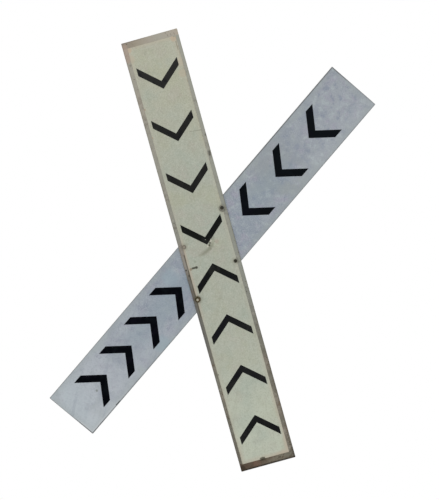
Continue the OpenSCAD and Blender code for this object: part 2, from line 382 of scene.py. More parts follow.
def new_tree(name, lengths, counts=(), places=()):
    """A Geometry Nodes tree with named inputs, and those inputs in order, with the finish last."""
    tree = bpy.data.node_groups.new(name, "GeometryNodeTree")
    tree.interface.new_socket("Geometry", in_out="OUTPUT", socket_type="NodeSocketGeometry")
    kinds = {**dict.fromkeys(lengths, "NodeSocketFloat"), **dict.fromkeys(counts, "NodeSocketInt"),
             **dict.fromkeys(places, "NodeSocketVector"), "Finish": "NodeSocketMaterial"}
    for label, kind in kinds.items():
        tree.interface.new_socket(label, in_out="INPUT", socket_type=kind)
    given = tree.nodes.new("NodeGroupInput").outputs
    numbers = (*lengths, *counts)
    return tree, {label: Num(tree, given[label]) if label in numbers else given[label] for label in kinds}


def finish_tree(tree, geometry, finish, angle=32):
    """Ends a tree: instances made real, faces shaded smoothly up to an angle, and the finish set."""
    edge_angle = Num(tree, add(tree, "GeometryNodeInputMeshEdgeAngle").outputs["Unsigned Angle"])
    shape = realized(tree, geometry)
    for smooth, domain in ((True, "FACE"), (edge_angle < math.radians(angle), "EDGE")):
        inputs = {"Geometry": shape, "Shade Smooth": smooth}
        shape = add(tree, "GeometryNodeSetShadeSmooth", inputs, domain=domain).outputs[0]
    painted = add(tree, "GeometryNodeSetMaterial", {"Geometry": shape, "Material": finish})
    feed(tree, tree.nodes.new("NodeGroupOutput").inputs[0], painted.outputs[0])
    return tree


def grow(name, tree, values):
    """Runs a tree and returns what it makes as an object with a plain mesh."""
    scene = bpy.context.scene
    host = bpy.data.objects.new(name + "_host", bpy.data.meshes.new(name + "_host"))
    scene.collection.objects.link(host)
    modifier = host.modifiers.new("Shape", "NODES")
    modifier.node_group = tree
    for item in tree.interface.items_tree:
        if item.in_out == "INPUT":
            modifier[item.identifier] = values[item.name]
    graph = bpy.context.evaluated_depsgraph_get()
    mesh = bpy.data.meshes.new_from_object(host.evaluated_get(graph), depsgraph=graph)
    bpy.data.objects.remove(host)
    if not mesh.polygons:
        raise RuntimeError(f"{name} came out empty")
    mesh.name = name
    piece = bpy.data.objects.new(name, mesh)
    scene.collection.objects.link(piece)
    return piece


def position(tree):
    """The place of each point, as a vector."""
    return add(tree, "GeometryNodeInputPosition").outputs[0]


def here(tree):
    """The place of each point, as three numbers."""
    return split(tree, position(tree))


def place_points(tree, geometry, place):
    """Moves a shape's points to new places."""
    return add(tree, "GeometryNodeSetPosition", {"Geometry": geometry, "Position": place}).outputs[0]


def put(tree, geometry, **inputs):
    """A shape scaled, turned and moved as a whole."""
    return add(tree, "GeometryNodeTransform", {"Geometry": geometry, **inputs}).outputs[0]


def realized(tree, geometry):
    """Instances made into real shapes."""
    return add(tree, "GeometryNodeRealizeInstances", {"Geometry": geometry}).outputs[0]


def joined(tree, *shapes):
    """Several shapes as one."""
    new = tree.nodes.new("GeometryNodeJoinGeometry")
    for shape in reversed(shapes):
        tree.links.new(shape, new.inputs[0])
    return new.outputs[0]


def carved(tree, body, cutters):
    """A body with cutters taken away one after another."""
    for cutter in cutters:
        new = add(tree, "GeometryNodeMeshBoolean", {0: body}, operation="DIFFERENCE", solver="MANIFOLD")
        tree.links.new(cutter, new.inputs["Mesh 2"])
        body = new.outputs[0]
    return body


# Blades, sheets and marks

EASED = 0.293  # share of the edge radius that halfway round an eased edge stands back
SURFACE_LENGTHS = ("Wave", "Bulge", "Bulge Radius", "Lean", "Back")


def slab(tree, width, length, thick, edge, corner, columns, rows, nick):
    """A plate on the XZ plane with rounded corners, eased edges and small nicks in them."""
    block = add(tree, "GeometryNodeMeshCube", {
        "Size": join(tree, width, thick, length),
        "Vertices X": columns, "Vertices Y": 4, "Vertices Z": rows})
    x, y, z = here(tree)

    def inset(place, extent, count):
        """Distance of a row from the edge: close rows round the edge and even ones between."""
        row = ((extent / 2 - abs(place)) * (count - 1) / extent).whole()
        even = corner + (row - 3) * (extent / 2 - corner) / ((count - 1) / 2 - 3)
        near = where(row > 1.5, (edge + corner) / 2, (row > 0.5) * edge)
        return where(row > 2.5, even, near)

    inset_x = inset(x, width, columns)
    inset_z = inset(z, length, rows)
    inset_y = (thick / 2 - abs(y)) > (thick / 6)
    rim = inset_x.least(inset_z)
    ease = (rim < (edge / 2)) * (1 - inset_y) * edge * EASED
    bites = noise(tree, join(tree, x, 0.0, z), 70.0, 3.0, 0.6).ramp(0.6, 0.78) * nick * (rim < (edge * 1.5))
    out_x = (width / 2 - inset_x).least(width / 2 - ease - bites)
    out_z = (length / 2 - inset_z).least(length / 2 - ease - bites)
    past_x = (out_x - (width / 2 - corner)).most(0.0)
    past_z = (out_z - (length / 2 - corner)).most(0.0)
    pull = past_x.most(past_z) / distance(past_x, past_z).most(1e-7)
    new_x = x.sign() * (out_x - past_x + past_x * pull)
    new_z = z.sign() * (out_z - past_z + past_z * pull)
    new_y = y.sign() * (thick / 2 - inset_y * edge - ease)
    return place_points(tree, block.outputs["Mesh"], join(tree, new_x, new_y, new_z))


def surface(tree, across, along, v):
    """Height that a blade's surface stands forward of flat: gentle waves past the crossing, and a bulge."""
    away = distance(across, along).ramp(0.11, 0.26)
    flow = noise(tree, join(tree, across, 0.0, along), 3.2, 1.0, 0.4) - 0.5
    fine = noise(tree, join(tree, across, 0.3, along), 16.0, 1.0, 0.4) - 0.5
    waves = (flow * 2.0 + fine * 0.35) * away * v["Wave"]
    bulge_x, _, bulge_z = split(tree, v["Bulge At"])
    ragged = noise(tree, join(tree, across, 0.7, along), 150.0, 2.0, 0.5) * 0.35 + 0.82
    spread = distance(across - bulge_x, along - bulge_z) * ragged / v["Bulge Radius"]
    return waves + spread.ramp(1.0, 0.1) * v["Bulge"]


def on_blade(tree, geometry, v):
    """A flat shape laid at its layer's depth, raised with its blade's surface and leaned into place."""
    x, y, z = here(tree)
    raised = place_points(tree, geometry, join(tree, x, y + v["Back"] - surface(tree, x, z, v), z))
    return put(tree, raised, Rotation=join(tree, 0.0, v["Lean"] * -1.0, 0.0))


def drill(tree, place, diameter):
    """A round cutter through the whole sign at a bolt's place."""
    rod = add(tree, "GeometryNodeMeshCylinder", {"Vertices": 48, "Radius": diameter / 2, "Depth": 0.2})
    return put(tree, rod.outputs["Mesh"], Translation=place, Rotation=(math.pi / 2, 0, 0))


def torn(tree, body, flakes):
    """A flat body with ragged flakes torn out, each at its place, with its size, its turn and a seed."""
    cutters = []
    for (across, along), long, wide, angle, seed in flakes:
        disc = add(tree, "GeometryNodeMeshCylinder", {"Vertices": 40, "Radius": 0.5, "Depth": 1.0})
        x, y, z = here(tree)
        ragged = noise(tree, join(tree, x, y, seed), 3.0, 3.0, 0.6) * 1.3 + 0.35
        rough = place_points(tree, disc.outputs["Mesh"], join(tree, x * ragged, y * ragged, z))
        flat = put(tree, rough, Rotation=(math.pi / 2, 0, 0))
        cutters.append(put(tree, flat, Translation=(across, 0, along), Rotation=(0, angle, 0),
                           Scale=(long, 0.05, wide)))
    return carved(tree, body, cutters)


def plate_tree(name, flakes=()):
    """A plate or a sheet on one layer of a blade, with holes for the four bolts."""
    tree, v = new_tree(
        name, ("Width", "Length", "Thickness", "Edge", "Corner", "Nick", "Across", "Along", "Skew",
               "Post Hole", "Side Hole", *SURFACE_LENGTHS),
        ("Columns", "Rows"), ("Top", "Bottom", "Right", "Left", "Bulge At"))
    flat = slab(tree, *(v[label] for label in (
        "Width", "Length", "Thickness", "Edge", "Corner", "Columns", "Rows", "Nick")))
    laid = put(tree, flat, Translation=join(tree, v["Across"], v["Thickness"] * -0.5, v["Along"]),
               Rotation=join(tree, 0.0, v["Skew"], 0.0))
    placed = on_blade(tree, torn(tree, laid, flakes), v)
    cutters = [drill(tree, v[end], v[hole]) for end, hole in (
        ("Top", "Post Hole"), ("Bottom", "Post Hole"), ("Right", "Side Hole"), ("Left", "Side Hole"))]
    return finish_tree(tree, carved(tree, placed, cutters), v["Finish"])


def mark_tree(name, flakes=()):
    """Two rows of arrowhead marks whose tips point at the crossing."""
    tree, v = new_tree(
        name, ("Height", "Reach", "Stroke Length", "Thickness", "Edge", "Fray", "Upper First", "Upper Last",
               "Lower First", "Lower Last", *SURFACE_LENGTHS),
        ("Upper Count", "Lower Count"), ("Bulge At",))
    bar = slab(tree, v["Height"], v["Stroke Length"], v["Thickness"], v["Edge"], v["Edge"] * 8.0, 49, 15,
               v["Fray"])
    x, y, z = here(tree)
    ahead = abs(x) * v["Reach"] / (v["Height"] / 2) - v["Reach"] / 2
    arrow = place_points(tree, bar, join(tree, x, y - v["Thickness"] / 2, z + ahead))
    arms = []
    for arm, half_turn in (("Upper", 0.0), ("Lower", math.pi)):
        first, count = v[arm + " First"], v[arm + " Count"]
        step = (v[arm + " Last"] - first) / (count - 1)
        row = add(tree, "GeometryNodeMeshLine", {
            "Count": count, "Start Location": join(tree, 0.0, 0.0, first),
            "Offset": join(tree, 0.0, 0.0, step)}, mode="OFFSET")
        marks = add(tree, "GeometryNodeInstanceOnPoints", {"Points": row.outputs[0], "Instance": arrow})
        arms.append(put(tree, marks.outputs[0], Rotation=(0, half_turn, 0)))
    rows = torn(tree, realized(tree, joined(tree, *arms)), flakes)
    return finish_tree(tree, on_blade(tree, rows, v), v["Finish"])


def blister_tree():
    """Small flat blisters of rust, scattered over the bare border of the front blade."""
    tree, v = new_tree(
        "Rust blisters", ("Width", "Length", "Left", "Right", "Top", "Foot", *SURFACE_LENGTHS),
        ("Count",), ("Bulge At",))
    clear = 0.001  # steel without blisters beside the sheeting and the edges
    spread = 160.0  # blisters in a square metre for each one that is asked for
    field = add(tree, "GeometryNodeMeshGrid", {
        "Size X": v["Width"] - clear * 3, "Size Y": v["Length"] - clear * 3, "Vertices X": 52,
        "Vertices Y": 400})
    x, y, _ = here(tree)
    half_width, half_length = v["Width"] / 2, v["Length"] / 2
    side = (x > (half_width - v["Right"] + clear)).most(x < (v["Left"] - clear - half_width))
    end = (y > (half_length - v["Top"] + clear)).most(y < (v["Foot"] - clear - half_length))
    clumps = noise(tree, position(tree), 22.0, 2.0, 0.5).ramp(0.46, 0.64)
    chance = side.most(end) * clumps * y.ramp(0.2, -0.6, 0.12, 1.0) * y.ramp(-0.5, -0.59, 1.0, 3.0)
    points = add(tree, "GeometryNodeDistributePointsOnFaces", {
        "Mesh": field.outputs["Mesh"], "Density": chance * v["Count"] * spread, "Seed": 11},
        distribute_method="RANDOM")

    def drawn(low, high, seed):
        """A random number for each blister."""
        return Num(tree, add(tree, "FunctionNodeRandomValue", {2: low, 3: high, "Seed": seed},
                             data_type="FLOAT").outputs[1])

    ball = add(tree, "GeometryNodeMeshUVSphere", {"Segments": 9, "Rings": 6, "Radius": 0.001})
    wide, around = drawn(0.35, 1.5, 4), drawn(0.0, math.tau, 9)
    specks = add(tree, "GeometryNodeInstanceOnPoints", {
        "Points": points.outputs["Points"], "Instance": ball.outputs["Mesh"],
        "Rotation": join(tree, 0.0, 0.0, around),
        "Scale": join(tree, wide, wide * 0.75, wide * 0.16 + 0.04)})
    x, y, z = here(tree)
    lumpy = noise(tree, position(tree), 1500.0, 1.0, 0.5) * 0.5 + 0.75
    upright = place_points(tree, realized(tree, specks.outputs[0]), join(tree, x, z * lumpy * -1.0, y))
    return finish_tree(tree, on_blade(tree, upright, v), v["Finish"], 60)


# Fasteners

BEVEL = 0.0001  # rounding of the sharpest edges of heads and nuts
COUNTERSINK = 0.0006  # width and depth of the cone at either end of a nut's bore
THREAD_BEVEL = 0.0007  # height of the bevel at either end of a thread
SUNK = 0.0005  # length by which a shank runs on inside its head
CHAMFER = 0.475  # radius of the flat circle on a head or a nut, as a share of its flats


def bent(tree, columns, rows, place, angle, radius, level):
    """A grid bent round a line along Y and closed. Its columns go round and its rows along the line."""
    grid = add(tree, "GeometryNodeMeshGrid", {
        "Size X": 1.0, "Size Y": 1.0, "Vertices X": columns + 1, "Vertices Y": rows})
    px, _, pz = split(tree, place)
    ring = join(tree, px + radius * angle.cosine(), level, pz + radius * angle.sine())
    loose = place_points(tree, grid.outputs["Mesh"], ring)
    return add(tree, "GeometryNodeMergeByDistance", {"Geometry": loose, "Distance": 1e-6}).outputs[0]


def turned(tree, place, outline, segments=72):
    """A closed piece turned about Y, whose outline(angle) lists radii and depths from back to front."""
    u, v, _ = here(tree)
    angle = (u + 0.5) * math.tau
    steps = outline(angle)
    row = ((v + 0.5) * (len(steps) - 1)).whole()

    def in_row(column):
        """The number that a column holds for a point's own row."""
        choice = add(tree, "GeometryNodeIndexSwitch", data_type="FLOAT")
        while len(choice.index_switch_items) < len(column):
            choice.index_switch_items.new()
        for index, value in enumerate((row, *column)):
            feed(tree, choice.inputs[index], value)
        return Num(tree, choice.outputs[0])

    radius, level = (in_row(column) for column in zip(*steps))
    return bent(tree, segments, len(steps), place, angle, radius, level)


def hexagon(angle, flats):
    """Distance from the middle to the edge of a hexagon at an angle."""
    return flats / 2 / ((angle % (math.pi / 3)) - math.pi / 6).cosine()


def threaded(tree, place, back, front, crest, root, pitch):
    """A bar about Y with a thread all along it and bevelled ends."""
    rows, segments = 220, 40
    u, v, _ = here(tree)
    row = ((v + 0.5) * (rows + 4)).whole() - 2.0
    run = back - front
    level = (row / rows).most(0.0).least(1.0) * run
    ridge = abs((level / pitch + u + 0.5) % 1.0 - 0.5).ramp(0.06, 0.44)
    end = crest - THREAD_BEVEL
    radius = (root + (crest - root) * ridge).least(end + level).least(end + run - level)
    inside = (row > -0.5) * (row < rows + 0.5)
    closing = abs(row - rows / 2) < rows / 2 + 1.5
    radius = where(inside, radius, closing * end * 0.7)
    return bent(tree, segments, rows + 5, place, (u + 0.5) * math.tau, radius, back - level)


def plain_bar(tree, place, core, back, front):
    """A smooth bar about Y."""
    radius = core / 2
    outline = [(0.0, back), (radius, back), (radius, front), (0.0, front)]
    return turned(tree, place, lambda _: outline, 32)


def corroded(tree, geometry, depth_of_rust, scale):
    """A shape whose surface is roughened by rust."""
    amount = (noise(tree, position(tree), scale, 3.0, 0.6) - 0.55) * depth_of_rust
    normal = add(tree, "GeometryNodeInputNormal").outputs[0]
    push = add(tree, "ShaderNodeVectorMath", {0: normal, "Scale": amount}, operation="SCALE").outputs[0]
    return add(tree, "GeometryNodeSetPosition", {"Geometry": geometry, "Offset": push}).outputs[0]


def bolt_tree():
    """A hexagon bolt whose head faces the front, with a threaded end behind."""
    tree, v = new_tree(
        "Hexagon bolt", ("Seat", "Head", "Flats", "Core", "Crest", "Root", "Pitch", "Tail", "Nut", "Rust"),
        places=("Place",))
    seat, high, flats, core, crest, root, pitch, tail, nut, rust, place, finish = v.values()

    def head(angle):
        outer, circle, front = hexagon(angle, flats), flats * CHAMFER, seat - high
        drop = (outer - circle) * 0.5
        return [
            (0.0, seat), (core * 0.6, seat), (circle, seat), (outer - BEVEL * 2, seat),
            (outer, seat - BEVEL * 2), (outer, seat - high * 0.35), (outer, seat - high * 0.7),
            (outer, front + drop + BEVEL), (outer - BEVEL, front + drop),
            ((outer + circle) / 2, front + drop / 2), (circle, front),
            # a shallow dish, as forging leaves it
            (circle * 0.86, front + 0.00006), (circle * 0.78, front + 0.00016),
            (circle * 0.5, front + 0.00012), (circle * 0.25, front + 0.0001), (0.0, front + 0.0001)]

    body = corroded(tree, turned(tree, place, head), rust, 700.0)
    bar = plain_bar(tree, place, core, nut, seat - SUNK)
    thread = threaded(tree, place, tail, nut, crest, root, pitch)
    return finish_tree(tree, joined(tree, body, bar, thread), finish, 28)


def stud_tree():
    """A length of stud, threaded in front and behind."""
    tree, v = new_tree(
        "Threaded stud", ("Front", "Front Nut", "Core", "Crest", "Root", "Pitch", "Tail", "Back Nut"),
        places=("Place",))
    front, front_nut, core, crest, root, pitch, tail, back_nut, place, finish = v.values()
    bar = plain_bar(tree, place, core, back_nut, front_nut)
    before = threaded(tree, place, front_nut, front, crest, root, pitch)
    behind = threaded(tree, place, tail, back_nut, crest, root, pitch)
    return finish_tree(tree, joined(tree, bar, before, behind), finish, 28)


def nut_tree():
    """A hexagon nut with both ends chamfered and its bore countersunk."""
    tree, v = new_tree("Hexagon nut", ("Back", "Front", "Flats", "Bore", "Rust"), places=("Place",))
    back, front, flats, across, rust, place, finish = v.values()

    def outline(angle):
        outer, circle, bore = hexagon(angle, flats), flats * CHAMFER, across / 2
        drop = (outer - circle) * 0.5
        half = [  # radii, and depths in from either end
            (bore, COUNTERSINK), (bore + COUNTERSINK, 0.0), ((bore + circle) / 2, 0.0), (circle, 0.0),
            ((outer + circle) / 2, drop / 2), (outer - BEVEL, drop), (outer, drop + BEVEL),
            (outer, (back - front) * 0.35)]
        return [(bore, front + COUNTERSINK), *((radius, back - inset) for radius, inset in half),
                *((radius, front + inset) for radius, inset in reversed(half))]

    return finish_tree(tree, corroded(tree, turned(tree, place, outline), rust, 700.0), finish, 28)


def washer_tree():
    """A flat washer with a rounded front edge, as punching leaves it."""
    tree, v = new_tree("Flat washer", ("Back", "Front", "Outer", "Bore", "Rust"), places=("Place",))
    back, front, outer_across, bore_across, rust, place, finish = v.values()

    def outline(_):
        outer, bore = outer_across / 2, bore_across / 2
        large = (back - front) * 0.22
        small, between = large * 0.4, (bore + outer) / 2
        return [
            (bore, front + large), (bore, back - small), (bore + small, back), (between, back),
            (outer - small, back), (outer, back - small), (outer, front + large),
            (outer - large * 0.3, front + large * 0.3), (outer - large, front), (between, front),
            (bore + large, front), (bore, front + large)]

    return finish_tree(tree, corroded(tree, turned(tree, place, outline), rust, 600.0), finish)


def lock_washer_tree():
    """A split spring washer."""
    tree, v = new_tree("Lock washer", ("Back", "Front", "Outer", "Bore", "Gap"), places=("Place",))
    back, front, outer, bore, gap, place, finish = v.values()
    thick, path_radius = back - front, (outer + bore) / 4
    half_gap = gap / 2 / path_radius
    arc = add(tree, "GeometryNodeCurveArc", {
        "Resolution": 64, "Radius": path_radius, "Start Angle": half_gap,
        "Sweep Angle": math.tau - half_gap * 2.0})
    section = add(tree, "GeometryNodeCurvePrimitiveQuadrilateral", {
        "Width": (outer - bore) / 2, "Height": thick * 0.96})
    eased = add(tree, "GeometryNodeFilletCurve", {
        "Curve": section.outputs[0], "Radius": 0.0002, "Count": 2}, mode="POLY")
    ring = add(tree, "GeometryNodeCurveToMesh", {
        "Curve": arc.outputs[0], "Profile Curve": eased.outputs[0], "Fill Caps": True}).outputs[0]
    x, y, z = here(tree)
    px, _, pz = split(tree, place)
    placed = place_points(tree, ring, join(tree, px + x, back - thick / 2 - z, pz + y))
    return finish_tree(tree, placed, finish)


# Finishes

def mixed(tree, amount, under, over):
    """One colour laid over another."""
    new = add(tree, "ShaderNodeMix", data_type="RGBA")
    new.clamp_factor = True
    feed(tree, new.inputs[0], amount)
    for socket, colour in ((new.inputs[6], under), (new.inputs[7], over)):
        feed(tree, socket, colour if isinstance(colour, bpy.types.NodeSocket) else (*colour[:3], 1.0))
    return new.outputs[2]


def shaded(colour, factor):
    """A plain colour made lighter or darker."""
    return tuple(min(1.0, c * factor) for c in colour[:3])


class Coat:
    """A finish laid on colour by colour, in its blade's own frame: across, along and level."""

    def __init__(self, name, lean=0.0):
        self.material = bpy.data.materials.new(name)
        self.material.use_nodes = True
        self.tree = self.material.node_tree
        self.lean = lean
        self.local = moved(self.tree, add(self.tree, "ShaderNodeTexCoord").outputs["Object"], angle=lean)
        self.across, self.level, self.along = split(self.tree, self.local)
        self.base = None

    def lay(self, amount, *shown):
        """Lays a colour, as shown on a screen, over the coat so far."""
        self.lay_tint(amount, paint(*shown))

    def lay_tint(self, amount, colour):
        """Lays one of the settings' colours over the coat so far."""
        self.base = mixed(self.tree, amount, self.base, colour)

    def between(self, factor, *stops):
        """A colour that follows a number through the given stops."""
        new = add(self.tree, "ShaderNodeValToRGB", {0: factor})
        ends = new.color_ramp.elements
        for end, (place, colour) in zip(ends, (stops[0], stops[-1])):
            end.position, end.color = place, (*colour, 1.0)
        for place, colour in stops[1:-1]:
            ends.new(place).color = (*colour, 1.0)
        return new.outputs[0]

    def noise(self, start, *look, stretch=(1, 1, 1)):
        """Smooth noise whose pattern begins at a place of its own."""
        return noise(self.tree, moved(self.tree, self.local, start, scale=stretch), *look)

    def rain(self, scale, stretch, start):
        """Noise drawn out into streaks that run down the upright sign."""
        upright = moved(self.tree, self.local, (start, start * 0.37, 0.0), -self.lean)
        return noise(self.tree, moved(self.tree, upright, scale=(1.0, 1.0, stretch)), scale, 3.0, 0.6)

    def crazing(self, start, squash, scale, wobble):
        """1 on a net of hairline cracks, broken up so that only some of them show."""
        squashed = moved(self.tree, self.local, start, scale=(1.0, 0.0, squash))
        cells = add(self.tree, "ShaderNodeTexVoronoi", {"Vector": squashed, "Scale": scale},
                    feature="DISTANCE_TO_EDGE")
        return Num(self.tree, cells.outputs[0]).ramp(0.045, 0.0) * wobble.ramp(0.46, 0.6)

    def far(self, at):
        """Distance from a place on the blade, across and along."""
        return distance(self.across - at[0], self.along - at[1])

    def spot(self, at, radius, wobble):
        """1 inside a round spot with an uneven rim."""
        return (self.far(at) * (wobble * 0.9 + 0.55)).ramp(radius, radius * 0.5)

    def spots(self, places, radius, wobble):
        """1 inside any of several spots."""
        found = self.spot(places[0], radius, wobble)
        for at in places[1:]:
            found = found.most(self.spot(at, radius, wobble))
        return found

    def stroke(self, start, end, width, wobble):
        """1 inside a thin stroke between two places, fading to 0 at its wobbling rim."""
        dx, dz = end[0] - start[0], end[1] - start[1]
        px, pz = self.across - start[0], self.along - start[1]
        run = ((px * dx + pz * dz) / (dx * dx + dz * dz)).most(0.0).least(1.0)
        return distance(px - run * dx, pz - run * dz).shaken(wobble, width).ramp(width, width * 0.45)

    def crescent(self, at, radius, width, wobble):
        """1 on a soft band along the lower right side of a circle."""
        toward = (self.across - at[0]) * 0.485 - (self.along - at[1]) * 0.875
        band = abs(self.far(at).shaken(wobble, width) - radius).ramp(width, 0.0)
        return band * band * (3.0 - 2.0 * band) * toward.ramp(radius * 0.62, radius * 0.97)

    def rim(self, blade):
        """Distance from the edge of the blade."""
        side = blade.width / 2 - abs(self.across)
        return side.least(blade.length / 2 - abs(self.along - blade.shift))

    def done(self, roughness, relief, depth_of_relief, shine=0.5, metallic=0.0):
        """The material, with its colour, its gloss and its relief in place."""
        shader = self.tree.nodes["Principled BSDF"]
        bump = {"Strength": 1.0, "Distance": depth_of_relief, "Height": relief}
        for name, value in {"Base Color": self.base, "Roughness": roughness, "Specular IOR Level": shine,
                            "Metallic": metallic,
                            "Normal": add(self.tree, "ShaderNodeBump", bump).outputs[0]}.items():
            feed(self.tree, shader.inputs[name], value)
        return self.material


BLADE_MIDDLE = -0.0152  # depth between the front blade's two faces


def bolt_places(blade):
    """Where the four bolts are on a blade, across and along."""
    local = [Matrix.Rotation(blade.lean, 3, "Y") @ middle(node)
             for node in ("top_bolt", "bottom_stud", "left_bolt", "right_bolt")]
    return [(at.x, at.z) for at in local]


def front_steel(blade):
    """Old primer and bare steel on the front blade, rusted most at its lower end."""
    coat = Coat("bordered_steel", blade.lean)
    across, along = coat.across, coat.along
    broad = coat.noise((3.1, 0, 1.7), 14.0, 4.0, 0.6)
    small = coat.noise((1.3, 0, 4.2), 95.0, 4.0, 0.65)
    grit = coat.noise((0, 0, 0), 620.0, 3.0, 0.6)
    left = across.ramp(0.006, -0.006)
    coat.base = coat.between(
        along / blade.length + 0.5,
        (0.0, shaded(blade.lower, 0.96)), (0.25, blade.lower[:]), (0.36, shaded(blade.middle, 0.78)),
        (0.45, shaded(blade.middle, 0.94)), (0.56, blade.middle[:]), (0.84, blade.upper[:]),
        (1.0, shaded(blade.upper, 1.08)))
    coat.lay(broad.ramp(0.47, 0.68) * 0.35, 160, 147, 134)
    coat.lay(broad.ramp(0.48, 0.3) * 0.35, 144, 148, 138)
    coat.lay(small.ramp(0.56, 0.74) * 0.35, 100, 93, 80)
    coat.lay(small.ramp(0.44, 0.3) * 0.2, 172, 168, 154)
    peeled = (small * 0.55 + broad * 0.45).ramp(0.545, 0.56)
    coat.lay(peeled * 0.22, 96, 91, 82)
    chalky = (small * 0.7 + grit * 0.3).ramp(0.42, 0.36)
    coat.lay(chalky * 0.25, 178, 174, 162)
    greener = (1.0 - left) * along.ramp(-0.22, -0.05)
    coat.lay(greener * 0.35, 150, 155, 145)
    darker = left * along.ramp(-0.005, -0.055) * along.ramp(-0.36, -0.22)
    coat.lay(darker * 0.85, 104, 102, 95)
    pinkish = left * along.ramp(0.07, 0.03) * along.ramp(-0.05, -0.01)
    coat.lay(pinkish * 0.6, 141, 133, 126)
    right_band = across.ramp(0.0708, 0.0735) * along.ramp(-0.22, -0.40)
    coat.lay(right_band * 0.5, 100, 94, 82)
    sooty = left * along.ramp(-0.42, -0.53)
    coat.lay(sooty * 0.6, 97, 92, 83)
    seam = coat.stroke((-0.0676, 0.014), (-0.0692, -0.16), 0.0026, small)
    coat.lay(seam * small.ramp(0.3, 0.55, 0.3, 0.85), 84, 79, 64)
    rim = coat.rim(blade)
    soiled = rim.shaken(small, 0.002).ramp(0.0034, 0.0004)
    coat.lay(soiled * along.ramp(0.3, -0.5, 0.2, 0.6), 88, 84, 74)
    top = along.shaken(small, 0.003).ramp(0.584, 0.587)
    coat.lay_tint(top * 0.8, coat.between(
        across.shaken(broad, 0.03) / blade.width + 0.5,
        (0.0, paint(134, 122, 110)), (0.22, paint(152, 142, 125)), (0.45, paint(166, 157, 144)),
        (0.62, paint(166, 162, 149)), (0.85, paint(170, 162, 149)), (1.0, paint(176, 163, 147))))
    rosy = coat.stroke((-0.0715, 0.590), (-0.0710, 0.555), 0.010, broad)
    coat.lay(rosy * 0.65, 168, 149, 134)
    # painted shade: a darker band along the outer left edge on the lower arm, standing in for the shade at
    # the plate's edge
    left_edge_shade = across.ramp(-0.0715, -0.0735) * along.ramp(-0.04, -0.08) * along.ramp(-0.30, -0.2)
    coat.lay(left_edge_shade * 0.5, 86, 86, 84)
    grimy = rim.shaken(small, 0.002).ramp(0.0034, 0.0016) * across.ramp(0.0, -0.03)
    coat.lay(grimy * along.ramp(0.48, 0.57) * 0.45, 118, 106, 98)
    for at in (0.0475, 0.0560, 0.0655):
        tick = coat.stroke((at, 0.5935), (at + 0.0012, 0.5885), 0.0009, small)
        coat.lay(tick * 0.6, 98, 88, 76)
    low = along.shaken(small, 0.004).ramp(-0.5795, -0.5835)
    coat.lay_tint(low * 0.9, coat.between(
        across.shaken(broad, 0.04) / blade.width + 0.5,
        (0.0, shaded(blade.rust, 0.82)), (0.25, blade.rust[:]), (0.5, paint(111, 102, 88)),
        (0.8, paint(117, 112, 97)), (1.0, paint(106, 103, 91))))
    coat.lay(low * small.ramp(0.52, 0.66) * 0.5, 82, 62, 50)
    # painted shade: a dark line along the foot edge, heaviest on the left, standing in for the plate's shaded
    # lower edge face
    foot = along.shaken(small, 0.0022).ramp(-0.5966, -0.5990)
    coat.lay(foot * left.ramp(0.0, 1.0, 0.85, 0.95), 44, 37, 30)
    corner = coat.spot((-0.073, -0.595), 0.013, small)
    coat.lay(corner * 0.8, 48, 37, 22)
    rusting = (small * 0.6 + broad * 0.4).ramp(0.56, 0.66) * along.ramp(0.25, -0.45, 0.1, 0.8)
    coat.lay(rusting * 0.7, 106, 86, 68)
    dark = coat.spot((-0.0739, -0.0261), 0.0034, small)
    dark = dark.most(coat.stroke((0.0724, 0.266), (0.0716, 0.257), 0.0042, small) * 0.8)
    dark = dark.most(coat.spots([(-0.0695, -0.0425), (0.0765, 0.312)], 0.005, small) * 0.7)
    dark = dark.most(coat.spot((-0.048, -0.0262), 0.012, small))
    coat.lay(dark * 0.85, 56, 53, 46)
    notch = coat.stroke((-0.0165, -0.5835), (-0.0060, -0.5828), 0.0064, small)
    coat.lay(notch, 48, 44, 34)
    reddish = coat.spot((-0.029, -0.587), 0.016, small)
    coat.lay(reddish * 0.4, 120, 88, 74)
    stain = coat.stroke((-0.022, -0.586), (0.006, -0.5845), 0.009, small)
    coat.lay(stain * 0.4, 80, 70, 54)
    low_corner = across.ramp(0.050, 0.066) * along.ramp(-0.565, -0.585)
    coat.lay(low_corner * small.ramp(0.46, 0.56) * 0.6, 80, 73, 60)
    corner_line = coat.stroke((0.0755, -0.574), (0.0755, -0.602), 0.0045, small)
    coat.lay(corner_line * 0.6, 62, 54, 44)
    ring = coat.spots(bolt_places(blade), 0.012, small)
    coat.lay(ring * 0.35, 96, 88, 68)
    front = coat.base
    coat.base = coat.between(
        broad * 0.6 + small * 0.4,
        (0.32, paint(104, 103, 98)), (0.48, paint(122, 121, 115)), (0.6, paint(131, 129, 121)),
        (0.75, paint(117, 101, 86)))
    coat.lay(peeled * 0.5, 96, 88, 78)
    coat.lay(chalky * 0.4, 148, 146, 138)
    coat.lay(coat.rain(60.0, 0.05, 2.0).ramp(0.52, 0.72) * 0.3, 106, 84, 66)
    runs = coat.rain(120.0, 0.02, 5.0).ramp(0.45, 0.6, 0.25, 0.9)
    coat.lay(coat.spots(bolt_places(blade), 0.03, broad) * runs, 104, 74, 52)
    flaked = (small * 0.5 + broad * 0.5).ramp(0.57, 0.62)
    coat.lay(flaked * 0.8, 96, 68, 50)
    coat.lay(soiled * 0.75, 84, 64, 50)
    coat.lay_tint(coat.level < BLADE_MIDDLE, front)
    relief = grit * 0.35 + small * 0.65 + rusting * 0.4 + flaked * 0.3
    return coat.done(small.ramp(0.3, 0.7, 0.62, 0.85), relief, 0.00035, shine=0.3)


